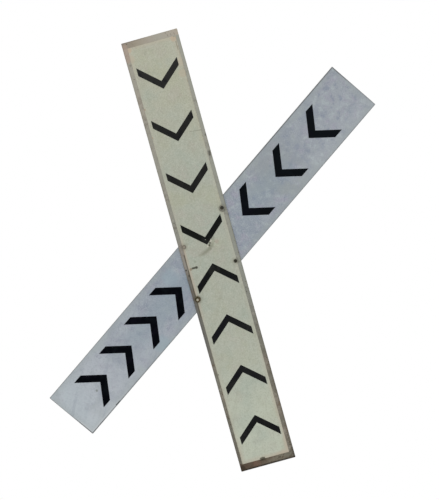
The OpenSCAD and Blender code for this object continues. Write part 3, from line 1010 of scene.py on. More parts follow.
def cream_sheeting(sheet, blade):
    """Aged cream sheeting with stained edges, a cracked place and chips on the bulge."""
    coat = Coat("aged_cream", blade.lean)
    across, along = coat.across, coat.along
    broad = coat.noise((7.3, 0, 2.9), 9.0, 3.0, 0.55)
    cloudy = coat.noise((0.4, 0, 9.1), 26.0, 4.0, 0.6)
    small = coat.noise((5.5, 0, 0.8), 120.0, 4.0, 0.6)
    beads = coat.noise((0, 0, 0), 1500.0, 1.0, 0.4)
    left = across.ramp(0.006, -0.006)
    coat.base = coat.between(
        along / blade.length + 0.5,
        (0.0, sheet.lower[:]), (0.12, shaded(sheet.lower, 0.98)), (0.28, shaded(sheet.crossing, 1.085)),
        (0.45, sheet.crossing[:]), (0.66, sheet.crossing[:]), (0.88, shaded(sheet.upper, 0.96)),
        (1.0, sheet.upper[:]))
    coat.lay(broad.ramp(0.5, 0.68) * 0.5, 170, 172, 147)
    coat.lay(broad.ramp(0.5, 0.32) * 0.5, 164, 175, 163)
    calmer = along.ramp(-0.5, -0.2, 0.55, 1.0)
    coat.lay(cloudy.ramp(0.52, 0.66) * calmer * 0.35, 179, 173, 162)
    coat.lay(cloudy.ramp(0.48, 0.34) * calmer * 0.3, 158, 168, 155)
    patchy = coat.noise((9.2, 0, 4.7), 55.0, 3.0, 0.6)
    coat.lay(patchy.ramp(0.54, 0.66) * calmer * 0.25, 187, 189, 175)
    coat.lay(patchy.ramp(0.44, 0.32) * calmer * 0.3, 153, 157, 138)
    grainy = coat.noise((1.1, 0, 8.3), 380.0, 2.0, 0.6)
    coat.lay(grainy.ramp(0.52, 0.66) * 0.35, 146, 148, 132)
    coat.lay(grainy.ramp(0.48, 0.34) * 0.35, 195, 197, 184)
    coat.lay(coat.rain(70.0, 0.06, 1.0).ramp(0.52, 0.75) * 0.2, 154, 155, 138)
    off = (sheet.left - sheet.right) / 2
    to_side = blade.width / 2 - (sheet.left + sheet.right) / 2 - abs(across - off)
    to_end = (blade.length / 2 - sheet.top - along).least(along + blade.length / 2 - sheet.foot)
    rim = to_side.least(to_end)
    stained = rim.shaken(cloudy, 0.016).ramp(0.014, 0.001)
    low_right = across.ramp(-0.02, 0.06) * along.ramp(-0.25, -0.5)
    ends = abs(along).ramp(0.48, 0.58)
    coat.lay_tint(stained * (low_right * 0.55 + ends * 0.35 + 0.2), sheet.warm[:])
    rosy = left * along.ramp(-0.2, -0.08) * along.ramp(0.08, 0.03)
    coat.lay(rosy * rim.shaken(small, 0.004).ramp(0.0075, 0.003) * 0.55, 178, 165, 149)
    line = rim.shaken(small, 0.0012).ramp(0.0012, 0.0001)
    coat.lay(line * small.ramp(0.4, 0.65, 0.05, 0.5), 134, 118, 96)
    corner = coat.spots([(-0.0615, 0.580), (0.060, 0.579)], 0.009, cloudy)
    coat.lay(corner * 0.55, 188, 164, 138)
    beige = coat.spots([(0.062, 0.515), (0.060, 0.485), (-0.063, 0.555)], 0.014, cloudy)
    coat.lay(beige * 0.5, 184, 172, 152)
    open_seam = coat.stroke((0.0645, 0.570), (0.0648, 0.548), 0.0012, small)
    coat.lay(open_seam * 0.6, 104, 102, 86)
    flecks = coat.spots([(-0.0645, 0.418), (-0.0650, 0.341)], 0.004, small)
    coat.lay(flecks * 0.5, 158, 128, 98)
    specks = small.ramp(0.66, 0.74) * broad.ramp(0.35, 0.6)
    coat.lay(specks * 0.35, 126, 122, 104)
    cracks = coat.crazing((0, 0, 0), 0.45, 290.0, cloudy)
    coat.lay(cracks * 0.16, 132, 128, 108)
    green = coat.spots([(-0.055, -0.236), (-0.0446, -0.0093)], 0.0045, cloudy)
    coat.lay(green * 0.5, 134, 142, 124)
    shadow = coat.crescent((-0.0180, 0.0387), 0.0318, 0.0125, cloudy)
    coat.lay(shadow * 0.66, 124, 125, 107)
    hazy = coat.spot((0.0169, 0.0409), 0.009, cloudy)
    coat.lay(hazy * 0.5, 134, 136, 122)
    tan = coat.spot((0.0270, 0.0283), 0.008, cloudy)
    coat.lay(tan * 0.5, 168, 155, 142)
    round_bulge = coat.spot((blade.bulge_across, blade.bulge_along), 0.019, cloudy)
    coat.lay(round_bulge * small.ramp(0.58, 0.63) * 0.65, 98, 95, 76)
    olive = coat.spots([(0.0085, 0.0285), (0.0050, 0.0235)], 0.0038, small)
    coat.lay(olive * 0.85, 58, 56, 38)
    bare = coat.spots([(0.0118, 0.0338), (0.0005, 0.0218)], 0.0034, small)
    coat.lay(bare * 0.8, 196, 193, 178)
    crack = coat.stroke((-0.0550, -0.0250), (-0.0450, -0.0262), 0.0036, small)
    crack = crack.most(coat.spot((-0.0447, -0.0255), 0.0052, small))
    coat.lay_tint(crack * 0.85, sheet.dirt[:])
    rusty = coat.spot((-0.0605, -0.0262), 0.0050, small)
    rusty = rusty.most(coat.stroke((-0.0655, 0.030), (-0.0668, -0.004), 0.0014, small) * 0.6)
    coat.lay(rusty * 0.6, 118, 98, 74)
    scratch = coat.stroke((0.0745, 0.3265), (0.037, 0.3305), 0.0009, small)
    coat.lay(scratch * 0.55, 98, 96, 84)
    low_spot = coat.stroke((-0.0145, -0.5815), (-0.0070, -0.5810), 0.0046, small)
    coat.lay(low_spot * 0.85, 66, 61, 46)
    ring = coat.spots(bolt_places(blade), 0.0135, cloudy)
    coat.lay(ring * 0.3, 140, 137, 118)
    relief = beads * 0.3 + small * 0.7 - crack - cracks
    return coat.done(cloudy.ramp(0.3, 0.7, 0.48, 0.62), relief, 0.00012, shine=0.25)


def white_sheeting(sheet, blade):
    """Aged white sheeting, mottled blue-grey, purple-grey and grey-green."""
    coat = Coat("aged_white", blade.lean)
    across, along = coat.across, coat.along
    broad = coat.noise((2.3, 0, 6.9), 10.0, 4.0, 0.6, 0.4)
    cloudy = coat.noise((8.4, 0, 1.1), 24.0, 4.0, 0.62, 0.5)
    small = coat.noise((5.1, 0, 3.3), 110.0, 4.0, 0.6)
    beads = coat.noise((0, 0, 0), 1500.0, 1.0, 0.4)
    coat.base = coat.between(
        along / blade.length + 0.5,
        (0.0, sheet.lower[:]), (0.13, shaded(sheet.lower, 0.94)), (0.4, sheet.crossing[:]),
        (0.6, shaded(sheet.crossing, 0.975)), (0.75, shaded(sheet.upper, 0.95)),
        (0.87, shaded(sheet.upper, 1.02)), (1.0, shaded(sheet.upper, 1.01)))
    coat.lay_tint(broad.ramp(0.5, 0.66) * 0.6, sheet.stain[:])
    coat.lay(broad.ramp(0.47, 0.33) * along.ramp(0.0, -0.35, 0.35, 0.45), 172, 178, 186)
    uneven = along.ramp(-0.5, 0.1, 0.3, 1.0)
    coat.lay(cloudy.ramp(0.52, 0.64) * uneven * 0.7, 160, 159, 173)
    patchy = coat.noise((7.7, 0, 5.2), 60.0, 3.0, 0.6, 0.3)
    coat.lay(patchy.ramp(0.53, 0.64) * uneven * 0.7, 169, 178, 181)
    coat.lay(patchy.ramp(0.45, 0.34) * uneven * 0.75, 132, 140, 155)
    grainy = coat.noise((3.6, 0, 0.9), 380.0, 2.0, 0.6)
    coat.lay(grainy.ramp(0.52, 0.66) * 0.4, 122, 128, 136)
    coat.lay(grainy.ramp(0.48, 0.34) * 0.4, 184, 191, 197)
    coat.lay(along.ramp(-0.46, -0.56) * cloudy.ramp(0.4, 0.55) * 0.5, 184, 195, 199)
    greyer = along.ramp(0.22, 0.27) * along.ramp(0.37, 0.32) * broad.ramp(0.38, 0.5)
    coat.lay(greyer * 0.5, 146, 152, 152)
    rim = coat.rim(blade)
    mossy = rim.shaken(cloudy, 0.03).ramp(0.026, 0.002)
    mossy_colour = mixed(coat.tree, along.ramp(0.0, -0.4), sheet.moss[:], shaded(sheet.moss, 1.13))
    coat.lay_tint(mossy * 0.5, mossy_colour)
    coat.lay_tint(cloudy.ramp(0.48, 0.32) * 0.4, mossy_colour)
    coat.lay(coat.rain(55.0, 0.05, 3.0).ramp(0.5, 0.7) * 0.35, 141, 149, 160)
    blue = coat.spots([(-0.040, -0.118), (0.030, -0.095), (0.060, -0.27)], 0.030, cloudy)
    coat.lay(blue * 0.5, 146, 165, 174)
    middle_band = abs(across).ramp(0.048, 0.012)
    washed = along.ramp(-0.37, -0.30) * along.ramp(-0.05, -0.10)
    washed = washed.most(along.ramp(0.36, 0.30) * along.ramp(0.12, 0.20) * 0.8)
    coat.lay(middle_band * washed * 0.35, 130, 147, 158)
    pale_side = along.ramp(-0.42, -0.48).most(along.ramp(0.26, 0.34) * 0.5)
    coat.lay(across.ramp(0.02, 0.05) * pale_side * 0.22, 196, 201, 204)
    coat.lay(small.ramp(0.68, 0.76) * 0.3, 118, 122, 126)
    cracks = coat.crazing((0.3, 0, 0.6), 0.5, 250.0, cloudy)
    coat.lay(cracks * 0.16, 122, 127, 132)
    # a thin darker line along the plate's edges, strongest along the lower right and near the upper left
    edge_line_mask = rim.shaken(small, 0.0014).ramp(0.0038, 0.0020)
    lower_edge = across.ramp(0.0, 0.04) * along.ramp(-0.1, -0.5, 0.05, 0.6).most(along.ramp(-0.48, -0.54))
    upper_edge = across.ramp(0.0, -0.04) * along.ramp(0.08, 0.22)
    upper_edge = upper_edge.most(along.ramp(0.08, 0.2) * 0.15)
    coat.lay_tint(edge_line_mask * lower_edge.most(upper_edge).most(0.05), blade.edge_line[:])
    pale = rim.shaken(small, 0.001).ramp(0.0085, 0.0065) * (1.0 - edge_line_mask) * across.ramp(0.0, 0.04)
    coat.lay(pale * along.ramp(-0.4, -0.52) * 0.5, 192, 196, 199)
    nick = coat.spot((0.009, -0.149), 0.0028, small)
    coat.lay(nick * 0.7, 196, 198, 196)
    ring_mark = coat.spot((0.0082, -0.4855), 0.0042, small)
    coat.lay(ring_mark * 0.65, 112, 118, 112)
    knock = coat.stroke((0.0765, -0.4685), (0.0760, -0.4795), 0.0046, small)
    coat.lay(knock * 0.95, 50, 56, 56)
    relief = beads * 0.3 + small * 0.7 - cracks
    return coat.done(cloudy.ramp(0.3, 0.7, 0.46, 0.62), relief, 0.00012, shine=0.25)


def black_film(name, marks, blade, shine, scratched):
    """Black film, faded in patches and worn at random places."""
    coat = Coat(name, blade.lean)
    cloudy = coat.noise((4.4, 0, 7.1), 30.0, 4.0, 0.6)
    small = coat.noise((1.9, 0, 5.6), 170.0, 4.0, 0.65)
    coat.base = coat.between(
        coat.along / blade.length + 0.5,
        (0.05, shaded(marks.lower, 0.7)), (0.25, marks.lower[:]), (0.36, shaded(marks.lower, 0.8)),
        (0.48, marks.crossing[:]), (0.58, shaded(marks.crossing, 1.2)), (0.68, shaded(marks.upper, 0.6)),
        (0.8, shaded(marks.upper, 0.66)), (0.93, marks.upper[:]))
    coat.lay_tint(cloudy.ramp(0.5, 0.66) * 0.5, shaded(marks.upper, 1.1))
    coat.lay(cloudy.ramp(0.47, 0.36) * 0.5, 13, 12, 22)
    coat.lay(small.ramp(0.69, 0.76) * 0.3, 62, 61, 54)
    if scratched:
        scratch = coat.stroke((0.056, 0.3285), (0.030, 0.3310), 0.0011, small)
        coat.lay(scratch * 0.85, 186, 186, 172)
    return coat.done(cloudy.ramp(0.3, 0.7, 0.5, 0.68), small, 0.00008, shine=shine)


def rear_aluminium(blade):
    """Dull aluminium with oxide, faint water streaks and the clean print of the post that stood behind."""
    coat = Coat("dull_aluminium", blade.lean)
    broad = coat.noise((6.1, 0, 2.2), 9.0, 4.0, 0.6)
    small = coat.noise((0.9, 0, 8.8), 110.0, 4.0, 0.65)
    grain = coat.noise((0, 0, 0), 180.0, 2.0, 0.5, stretch=(14.0, 1.0, 0.6))
    coat.base = coat.between(
        broad * 0.65 + small * 0.35,
        (0.3, shaded(blade.metal, 0.85)), (0.46, blade.metal[:]), (0.6, blade.oxide[:]),
        (0.72, shaded(blade.oxide, 1.08)))
    coat.lay(coat.rain(42.0, 0.09, 4.0).ramp(0.55, 0.75) * 0.2, 134, 133, 129)
    coat.lay(small.ramp(0.62, 0.74) * 0.4, 112, 109, 102)
    coat.lay(grain.ramp(0.6, 0.72) * 0.25, 196, 198, 200)
    from_middle = abs(split(coat.tree, moved(coat.tree, coat.local, angle=-blade.lean))[0])
    print_edge = from_middle.shaken(small, 0.006)
    coat.lay(print_edge.ramp(0.033, 0.029) * 0.45, 182, 183, 182)
    dust = print_edge.ramp(0.0285, 0.0305) * print_edge.ramp(0.038, 0.032)
    coat.lay(dust * (broad * 0.6 + small * 0.4).ramp(0.4, 0.56, 0.05, 0.6), 112, 108, 100)
    white = small.ramp(0.36, 0.28) * broad.ramp(0.56, 0.44)
    coat.lay(white * 0.6, 206, 208, 208)
    # darker along the plate's edges, in the same colour as the line round the white sheeting
    soiled = coat.rim(blade).shaken(small, 0.003).ramp(0.005, 0.0008)
    coat.lay_tint(soiled * 0.6, blade.edge_line[:])
    ring = coat.spots(bolt_places(blade), 0.017, small)
    coat.lay(ring * small.ramp(0.35, 0.6, 0.2, 0.75), 124, 92, 66)
    return coat.done(small.ramp(0.3, 0.7, 0.42, 0.62), grain * 0.35 + small * 0.65, 0.0001,
                     metallic=broad.ramp(0.35, 0.65, 0.75, 0.4))


def rusted_steel(name, dark, newer_rust_and_light, amount, worn=None, at=None, core=0.005, lit_side=0.0):
    """Rusted steel: dark, with newer rust in patches and, where asked, painted light on one side and a rim in
    another colour.
    """
    coat = Coat(name)
    broad = coat.noise((2.7, 1.0, 0.6), 180.0, 4.0, 0.65)
    small = coat.noise((0.3, 4.0, 3.9), 900.0, 4.0, 0.65)
    patches = broad.ramp(0.4, 0.68) * amount
    # painted light: with lit_side, the right side of the piece, a little toward the bottom, is laid in the
    # lighter colour and the upper left stays darker
    if lit_side:
        patches = patches.most((coat.across - at.x - (coat.along - at.z) * 0.4).ramp(-0.003, 0.005) * lit_side)
    coat.base = dark[:]
    coat.lay_tint(patches, newer_rust_and_light[:])
    coat.lay_tint(small.ramp(0.5, 0.72) * 0.45, shaded(dark, 0.5))
    coat.lay_tint(small.ramp(0.5, 0.3) * 0.2, shaded(newer_rust_and_light, 1.2))
    # a ring of another colour round the core: on the top bolt a painted highlight on the head's bevel, on the
    # left bolt a darker soiled ring
    if worn:
        far = coat.far((at.x, at.z)).shaken(broad, 0.002)
        coat.lay_tint(far.ramp(core, core + 0.0014) * 0.85, worn)
    return coat.done(small.ramp(0.3, 0.7, 0.6, 0.9), small * 0.6 + broad * 0.4, 0.00022, shine=0.25)


def dull_zinc(name, metal, colour, rust, at=None):
    """Dull zinc plating with chalky bloom, spots of rust and, where asked, a grimy rim round a worn end."""
    coat = Coat(name)
    broad = coat.noise((5.2, 2.0, 1.1), 160.0, 4.0, 0.6)
    small = coat.noise((1.6, 3.0, 0.2), 800.0, 4.0, 0.6)
    coat.base = colour[:]
    coat.lay_tint(broad.ramp(0.45, 0.65) * 0.6, metal.white_rust[:])
    coat.lay_tint(small.ramp(0.55, 0.75) * 0.4, shaded(colour, 0.45))
    worn = (broad * 0.5 + small * 0.5).ramp(0.54 - rust * 0.1, 0.62)
    coat.lay(worn * 0.8, 120, 84, 56)
    metallic = broad.ramp(0.45, 0.62, 0.7, 0.15)
    if at:
        far = coat.far((at.x, at.z)).shaken(broad, 0.001)
        grimy = far.ramp(0.0024, 0.0033) * coat.level.ramp(-0.008, -0.012)
        coat.lay(grimy * 0.85, 98, 92, 68)
        metallic = metallic * (1.0 - grimy)
    return coat.done(small.ramp(0.3, 0.7, 0.4, 0.66), small * 0.7 + broad * 0.3, 0.00012, metallic=metallic)


# Operators

def settings():
    """The sign's settings in the open scene."""
    return bpy.context.scene.crossing_sign


def hand_over(piece, slot, *nodes):
    """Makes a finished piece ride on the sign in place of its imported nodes."""
    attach(piece, "root")
    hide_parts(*nodes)


def odd(count):
    """The nearest odd whole number that isn't smaller."""
    return 2 * math.ceil((count - 1) / 2) + 1


def surface_values(blade, back):
    """The form that all layers of one blade share. Only the front blade has a bulge."""
    return {"Wave": blade.wave, "Bulge": getattr(blade, "bulge", 0.0),
            "Bulge Radius": getattr(blade, "bulge_radius", 0.01),
            "Bulge At": (getattr(blade, "bulge_across", 0.0), 0, getattr(blade, "bulge_along", 0.0)),
            "Lean": blade.lean, "Back": back}


def layer_values(node, blade, layer, width, length, opening="hole"):
    """What a plate or a sheet takes that lies straight on its blade's middle."""
    own = settings()
    return {
        "Width": width, "Length": length, "Thickness": thickness(node), "Edge": layer.edge,
        "Corner": layer.corner, "Nick": layer.nick, "Columns": odd(width / blade.cell),
        "Rows": odd(length / blade.cell), "Across": 0.0, "Along": blade.shift, "Skew": 0.0,
        "Top": middle("top_bolt"), "Bottom": middle("bottom_stud"), "Right": middle("right_bolt"),
        "Left": middle("left_bolt"), "Post Hole": getattr(own.post, opening),
        "Side Hole": getattr(own.side, opening), **surface_values(blade, depth(node, 1))}


def row_values(node, blade, marks, upper, lower):
    """What one blade's marks take. Each arm has its count and where its marks begin and end."""
    stroke = marks.stroke * math.hypot(marks.height / 2, marks.reach) / (marks.height / 2)
    half = (marks.reach + stroke) / 2
    values = {
        "Height": marks.height, "Reach": marks.reach, "Stroke Length": stroke, "Thickness": thickness(node),
        "Edge": marks.edge, "Fray": marks.fray, **surface_values(blade, depth(node, 1))}
    for arm, (count, first, last) in (("Upper", upper), ("Lower", lower)):
        values |= {arm + " Count": count, arm + " First": first + half, arm + " Last": last - half}
    return values


def thread_values(sizes):
    """What a bolt or a stud takes from its kind's sizes."""
    return {"Core": sizes.core, "Crest": sizes.thread / 2, "Root": sizes.root / 2, "Pitch": sizes.pitch}


def washer_values(node, place, sizes, outer, finish):
    """What every washer takes."""
    return {"Place": place, "Back": depth(node, 1), "Front": depth(node, 0), "Outer": outer,
            "Bore": sizes.thread + 2 * sizes.play, "Finish": finish}


class SIGN_OT_blades(Operator):
    """Build the two bare plates"""

    bl_idname = "sign.blades"
    bl_label = "Blades"

    def execute(self, context):
        own = settings()
        tree = plate_tree("Blade plate")
        for side, slot, blade, finish in (
                ("front", "front_steel", own.front_blade, front_steel(own.front_blade)),
                ("rear", "rear_aluminium", own.rear_blade, rear_aluminium(own.rear_blade))):
            node = side + "_blade"
            values = layer_values(node, blade, blade, blade.width, blade.length)
            hand_over(grow(side + "_plate", tree, {**values, "Finish": finish}), slot, node)
        return {"FINISHED"}


class SIGN_OT_sheeting(Operator):
    """Build the cream and the white sheeting"""

    bl_idname = "sign.sheeting"
    bl_label = "Sheeting"

    def execute(self, context):
        own = settings()
        blade, sheet = own.front_blade, own.front_sheeting
        flakes = (
            ((-0.0500, -0.0256), 0.0100, 0.0018, 0.17, 1.0),
            ((-0.0447, -0.0255), 0.0030, 0.0036, 0.10, 2.0),
            ((0.0085, 0.0278), 0.0024, 0.0042, 0.30, 3.0),
            ((0.0640, 0.3275), 0.0110, 0.0007, 0.10, 4.0),
            ((-0.0110, -0.5838), 0.0100, 0.0034, 0.05, 5.0),
            ((0.0640, 0.5840), 0.0060, 0.0030, -0.60, 6.0),
            ((-0.0660, -0.3250), 0.0022, 0.0050, 0.05, 7.0),
        )
        piece = grow("cream_sheet", plate_tree("Cream sheet", flakes), {
            **layer_values("front_sheeting", blade, sheet, blade.width - sheet.left - sheet.right,
                           blade.length - sheet.top - sheet.foot, "window"),
            "Across": (sheet.left - sheet.right) / 2, "Along": (sheet.foot - sheet.top) / 2,
            "Skew": sheet.skew, "Finish": cream_sheeting(sheet, blade)})
        hand_over(piece, "cream_sheeting", "front_sheeting")
        blade, sheet = own.rear_blade, own.rear_sheeting
        piece = grow("white_sheet", plate_tree("White sheet"), {
            **layer_values("rear_sheeting", blade, sheet, blade.width - 2 * sheet.gap,
                           blade.length - 2 * sheet.gap),
            "Finish": white_sheeting(sheet, blade)})
        hand_over(piece, "white_sheeting", "rear_sheeting")
        return {"FINISHED"}


class SIGN_OT_marks(Operator):
    """Build the rows of black arrow marks"""

    bl_idname = "sign.marks"
    bl_label = "Arrow Marks"

    def execute(self, context):
        own = settings()
        blade, marks = own.front_blade, own.front_marks
        flakes = (
            ((0.0035, 0.0265), 0.0060, 0.0042, 0.40, 2.5),
            ((0.0130, 0.0370), 0.0045, 0.0030, 0.70, 3.5),
            ((-0.0010, 0.0405), 0.0022, 0.0016, 0.00, 4.5),
            ((0.0560, 0.4460), 0.0030, 0.0022, 0.20, 5.5),
            ((-0.0555, -0.3510), 0.0030, 0.0026, 0.50, 6.5),
        )
        arm = (marks.count, marks.first, blade.length / 2 - marks.last)
        piece = grow("front_arrows", mark_tree("Front arrows", flakes), {
            **row_values("front_marks", blade, marks, arm, arm),
            "Finish": black_film("front_film", marks, blade, 0.05, True)})
        hand_over(piece, "black_film", "front_marks")
        covered = blade.width / 2 / math.sin(blade.lean - own.rear_blade.lean)
        blade, marks = own.rear_blade, own.rear_marks
        upper = (marks.upper_count, covered + marks.upper_first,
                 blade.length / 2 + blade.shift - marks.upper_last)
        lower = (marks.lower_count, covered + marks.lower_first,
                 blade.length / 2 - blade.shift - marks.lower_last)
        piece = grow("rear_arrows", mark_tree("Rear arrows"), {
            **row_values("rear_marks", blade, marks, upper, lower),
            "Finish": black_film("rear_film", marks, blade, 0.02, False)})
        hand_over(piece, "black_film", "rear_marks")
        return {"FINISHED"}


class SIGN_OT_blisters(Operator):
    """Scatter rust blisters on the bare border of the front blade"""

    bl_idname = "sign.blisters"
    bl_label = "Rust Blisters"

    def execute(self, context):
        own = settings()
        blade, sheet = own.front_blade, own.front_sheeting
        piece = grow("rust_blisters", blister_tree(), {
            "Width": blade.width, "Length": blade.length, "Count": blade.blisters, "Left": sheet.left,
            "Right": sheet.right, "Top": sheet.top, "Foot": sheet.foot,
            "Finish": rusted_steel("blister_rust", own.metal.blister, own.metal.newer_rust_and_light_tint, 0.85),
            **surface_values(blade, depth("front_blade", 0))})
        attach(piece, "root")
        return {"FINISHED"}


class SIGN_OT_bolts(Operator):
    """Build the three hexagon bolts and the stud"""

    bl_idname = "sign.bolts"
    bl_label = "Bolts and Stud"

    def execute(self, context):
        own = settings()
        tree, metal = bolt_tree(), own.metal
        # the top bolt's head: a dark core with a painted highlight round it on the bevel
        top = rusted_steel("top_bolt_rust_and_highlight", metal.top_head, metal.newer_rust_and_light_tint, 0.35, metal.top_rim_highlight[:],
                           middle("top_bolt") + Vector((-0.0008, 0, 0.0011)), 0.0044)
        right = rusted_steel("right_bolt_rust", metal.right_head, metal.newer_rust_and_light_tint, 0.2)
        left = rusted_steel("left_bolt_rust", metal.left_head, metal.newer_rust_and_light_tint, 0.3, metal.left_rim[:],
                            middle("left_bolt"), 0.0033)
        for end, sizes, under_head, finish in (
                ("top", own.post, "front_washer_top", top),
                ("right", own.side, "front_blade", right),
                ("left", own.side, "front_blade", left)):
            node, seat = end + "_bolt", depth(under_head, 0)
            piece = grow(node + "_turned", tree, {
                "Place": middle(node), "Seat": seat, "Head": seat - depth(node, 0), "Flats": sizes.flats,
                "Tail": depth(node, 1), "Nut": depth("back_nut_" + end, 1) - sizes.thread / 4,
                "Rust": 0.00022, "Finish": finish, **thread_values(sizes)})
            hand_over(piece, "rusty_steel", node)
        node, inside = "bottom_stud", 0.002
        piece = grow(node + "_turned", stud_tree(), {
            "Place": middle(node), "Front": depth(node, 0), "Front Nut": depth("front_nut", 0) + inside,
            "Tail": depth(node, 1), "Back Nut": depth("back_nut_bottom", 1) - inside,
            "Finish": dull_zinc("stud_zinc", metal, metal.stud, 0.1, middle(node)),
            **thread_values(own.post)})
        hand_over(piece, "zinc_steel", node)
        return {"FINISHED"}


class SIGN_OT_nuts(Operator):
    """Build the front nut and the four back nuts"""

    bl_idname = "sign.nuts"
    bl_label = "Nuts"

    def execute(self, context):
        own = settings()
        tree = nut_tree()
        # the front nut: dark, with painted light on its right side
        dark = rusted_steel("front_nut_rust_and_light", own.metal.front_nut, own.metal.newer_rust_and_light_tint, 0.3,
                            at=middle("front_nut"), lit_side=0.85)
        zinc = dull_zinc("nut_zinc", own.metal, own.metal.zinc, 0.5)
        for node, sizes, slot, finish in (
                ("front_nut", own.post, "rusty_steel", dark),
                ("back_nut_top", own.post, "zinc_steel", zinc),
                ("back_nut_bottom", own.post, "zinc_steel", zinc),
                ("back_nut_right", own.side, "zinc_steel", zinc),
                ("back_nut_left", own.side, "zinc_steel", zinc)):
            piece = grow(node + "_turned", tree, {
                "Place": middle(node), "Back": depth(node, 1), "Front": depth(node, 0),
                "Flats": sizes.flats, "Bore": sizes.core, "Rust": 0.00018, "Finish": finish})
            hand_over(piece, slot, node)
        return {"FINISHED"}


class SIGN_OT_washers(Operator):
    """Build the flat washers and the lock washers"""

    bl_idname = "sign.washers"
    bl_label = "Washers"

    def execute(self, context):
        own = settings()
        flat, split_ring = washer_tree(), lock_washer_tree()
        zinc = dull_zinc("washer_zinc", own.metal, own.metal.zinc, 0.7)
        upper = rusted_steel("upper_washer_rust", own.metal.front_washer, own.metal.newer_rust_and_light_tint, 0.25)
        lower = rusted_steel("lower_washer_rust", own.metal.lower_washer, own.metal.newer_rust_and_light_tint, 0.5)
        for end, bolt, sizes in (
                ("top", "top_bolt", own.post), ("bottom", "bottom_stud", own.post),
                ("right", "right_bolt", own.side), ("left", "left_bolt", own.side)):
            node, place = "back_washer_" + end, middle(bolt)
            values = washer_values(node, place, sizes, sizes.washer, zinc)
            hand_over(grow(node + "_turned", flat, {**values, "Rust": 0.0001}), "zinc_steel", node)
            node = "lock_washer_" + end
            values = washer_values(node, place, sizes, sizes.lock, zinc)
            hand_over(grow(node + "_coiled", split_ring, {**values, "Gap": 0.002}), "zinc_steel", node)
        for node, finish in (("front_washer_top", upper), ("front_washer_bottom", lower)):
            values = washer_values(node, middle(node), own.post, own.post.washer, finish)
            hand_over(grow(node + "_turned", flat, {**values, "Rust": 0.00014}), "rusty_steel", node)
        return {"FINISHED"}


def white_to_camera(tree, lit, white):
    """Lit as usual, but plain white where the camera, a reflection or a clear piece sees it."""
    rays = add(tree, "ShaderNodeLightPath").outputs
    camera, glossy, clear = (
        Num(tree, rays[f"Is {kind} Ray"]) for kind in ("Camera", "Glossy", "Transmission"))
    seen = camera.most(glossy).most(clear)
    return add(tree, "ShaderNodeMixShader", {0: seen, 1: lit, 2: white}).outputs[0]


def lamp(name, watts, across, place):
    """A large soft lamp that faces the crossing."""
    light = bpy.data.lights.new(name, "AREA")
    light.shape, light.size, light.energy = "DISK", across, watts
    holder = bpy.data.objects.new(name, light)
    holder.location = place
    holder.rotation_euler = (-Vector(place)).to_track_quat("-Z", "Y").to_euler()
    bpy.context.scene.collection.objects.link(holder)


class SIGN_OT_stage(Operator):
    """Set up the floor, the light and the camera"""

    bl_idname = "sign.stage"
    bl_label = "Stage"

    def execute(self, context):
        own = settings().stage
        self.light(context.scene, own)
        self.floor(context.scene, own)
        self.camera(context.scene, own)
        context.scene.view_settings.view_transform = "Standard"
        return {"FINISHED"}

    def light(self, scene, own):
        scene.world = bpy.data.worlds.new("studio")
        scene.world.use_nodes = True
        tree = scene.world.node_tree
        tree.nodes.clear()
        lit, white = (add(tree, "ShaderNodeBackground", {"Color": (1, 1, 1, 1), "Strength": strength})
                      for strength in (own.sky, 1.0))
        seen = white_to_camera(tree, lit.outputs[0], white.outputs[0])
        feed(tree, tree.nodes.new("ShaderNodeOutputWorld").inputs[0], seen)
        lamp("key_lamp", own.key, own.lamp, (-1.6, -3.4, 2.2))
        lamp("back_lamp", own.back, own.lamp, (1.4, 3.2, 1.8))

    def floor(self, scene, own):
        sides = 64
        rim = [(own.floor_radius * math.cos(angle), own.floor_radius * math.sin(angle), own.floor)
               for angle in (math.tau * step / sides for step in range(sides))]
        mesh = bpy.data.meshes.new("floor")
        mesh.from_pydata(rim, [], [range(sides)])
        floor = bpy.data.objects.new("floor", mesh)
        scene.collection.objects.link(floor)
        material = bpy.data.materials.new("pale_floor")
        material.use_nodes = True
        tree = material.node_tree
        shader = tree.nodes["Principled BSDF"]
        shader.inputs["Roughness"].default_value = 0.8
        shader.inputs["Specular IOR Level"].default_value = 0.1
        flat = add(tree, "ShaderNodeTexCoord").outputs["Object"]
        grain = noise(tree, flat, 40.0, 3.0, 0.6)
        feed(tree, shader.inputs["Base Color"],
             mixed(tree, grain * 0.3, own.floor_colour[:], shaded(own.floor_colour, 0.97)))
        x, y, _ = split(tree, flat)
        clear = add(tree, "ShaderNodeBsdfTransparent").outputs[0]
        faded = add(tree, "ShaderNodeMixShader", {
            0: distance(x, y).ramp(1.1, 1.88), 1: shader.outputs[0], 2: clear}).outputs[0]
        feed(tree, tree.nodes["Material Output"].inputs[0], faded)
        mesh.materials.append(material)

    def camera(self, scene, own):
        side, rise = own.azimuth, own.elevation
        back = Vector((math.sin(side) * math.cos(rise), -math.cos(side) * math.cos(rise), math.sin(rise)))
        right = (-back).cross(Vector((0, 0, 1))).normalized()
        up = right.cross(-back)
        level = math.cos(own.roll) * right + math.sin(own.roll) * up
        upright = -math.sin(own.roll) * right + math.cos(own.roll) * up
        lens = bpy.data.cameras.new("camera")
        lens.sensor_width, lens.lens = 36, 72
        lens.shift_x, lens.shift_y = 0.0194, 0.0079
        lens.clip_start = 0.05
        holder = bpy.data.objects.new("camera", lens)
        middle_of_faces = Vector((0, -0.0155, 0))
        turned_to = Matrix((level, upright, back)).transposed().to_4x4()
        holder.matrix_world = Matrix.Translation(middle_of_faces + back * own.distance) @ turned_to
        scene.collection.objects.link(holder)
        scene.camera = holder


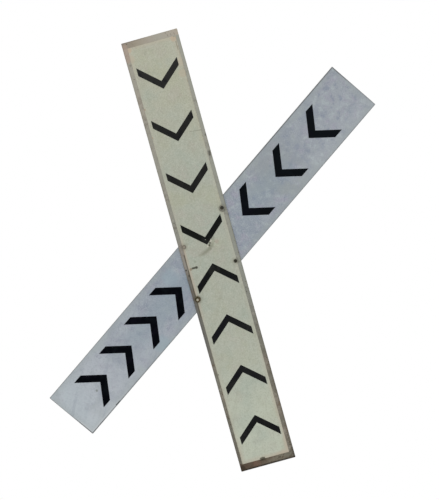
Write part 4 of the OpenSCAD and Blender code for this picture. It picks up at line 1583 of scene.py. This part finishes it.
class SIGN_PT_panel(Panel):
    """Lists the pieces of the sign and the stage"""

    bl_idname = "SIGN_PT_panel"
    bl_label = "Crossing Sign"
    bl_space_type = "VIEW_3D"
    bl_region_type = "UI"
    bl_category = "Crossing Sign"

    def draw(self, context):
        own = context.scene.crossing_sign
        for piece in PIECES:
            self.layout.operator(piece.bl_idname)
        for name in own.bl_rna.properties.keys():
            part = getattr(own, name)
            if not isinstance(part, PropertyGroup):
                continue
            box = self.layout.box()
            box.label(text=own.bl_rna.properties[name].name)
            for setting in part.bl_rna.properties.keys():
                if setting not in ("rna_type", "name"):
                    box.prop(part, setting)


def group(name, description, kind):
    """A group of settings."""
    return PointerProperty(name=name, description=description, type=kind)


class SignSettings(PropertyGroup):
    """All settings of the sign."""

    front_blade: group("Front Blade", "The steel plate", FrontBladeSettings)
    rear_blade: group("Rear Blade", "The aluminium plate", RearBladeSettings)
    front_sheeting: group("Front Sheeting", "The cream sheeting", FrontSheetingSettings)
    rear_sheeting: group("Rear Sheeting", "The white sheeting", RearSheetingSettings)
    front_marks: group("Front Marks", "The front arrow marks", FrontMarkSettings)
    rear_marks: group("Rear Marks", "The rear arrow marks", RearMarkSettings)
    post: group("Post Fasteners", "The top bolt and the bottom stud", PostFastenerSettings)
    side: group("Side Fasteners", "The left and right bolts", SideFastenerSettings)
    metal: group("Fastener Metal", "Colours of the fasteners", MetalSettings)
    stage: group("Stage", "Floor, light and camera", StageSettings)


PIECES = (SIGN_OT_stage, SIGN_OT_blades, SIGN_OT_sheeting, SIGN_OT_marks, SIGN_OT_blisters, SIGN_OT_bolts,
          SIGN_OT_nuts, SIGN_OT_washers)
GROUPS = (FrontBladeSettings, RearBladeSettings, FrontSheetingSettings, RearSheetingSettings,
          FrontMarkSettings, RearMarkSettings, PostFastenerSettings, SideFastenerSettings, MetalSettings,
          StageSettings, SignSettings)


def register():
    for entry in (*GROUPS, *PIECES, SIGN_PT_panel):
        bpy.utils.register_class(entry)
    bpy.types.Scene.crossing_sign = group("Crossing Sign", "Settings of the sign", SignSettings)


def unregister():
    del bpy.types.Scene.crossing_sign
    for entry in reversed((*GROUPS, *PIECES, SIGN_PT_panel)):
        bpy.utils.unregister_class(entry)


def main():
    """Builds the stage and every piece."""
    register()
    bpy.ops.sign.stage()
    bpy.ops.sign.blades()
    bpy.ops.sign.sheeting()
    bpy.ops.sign.marks()
    bpy.ops.sign.blisters()
    bpy.ops.sign.bolts()
    bpy.ops.sign.nuts()
    bpy.ops.sign.washers()


if __name__ == "__main__":
    main()
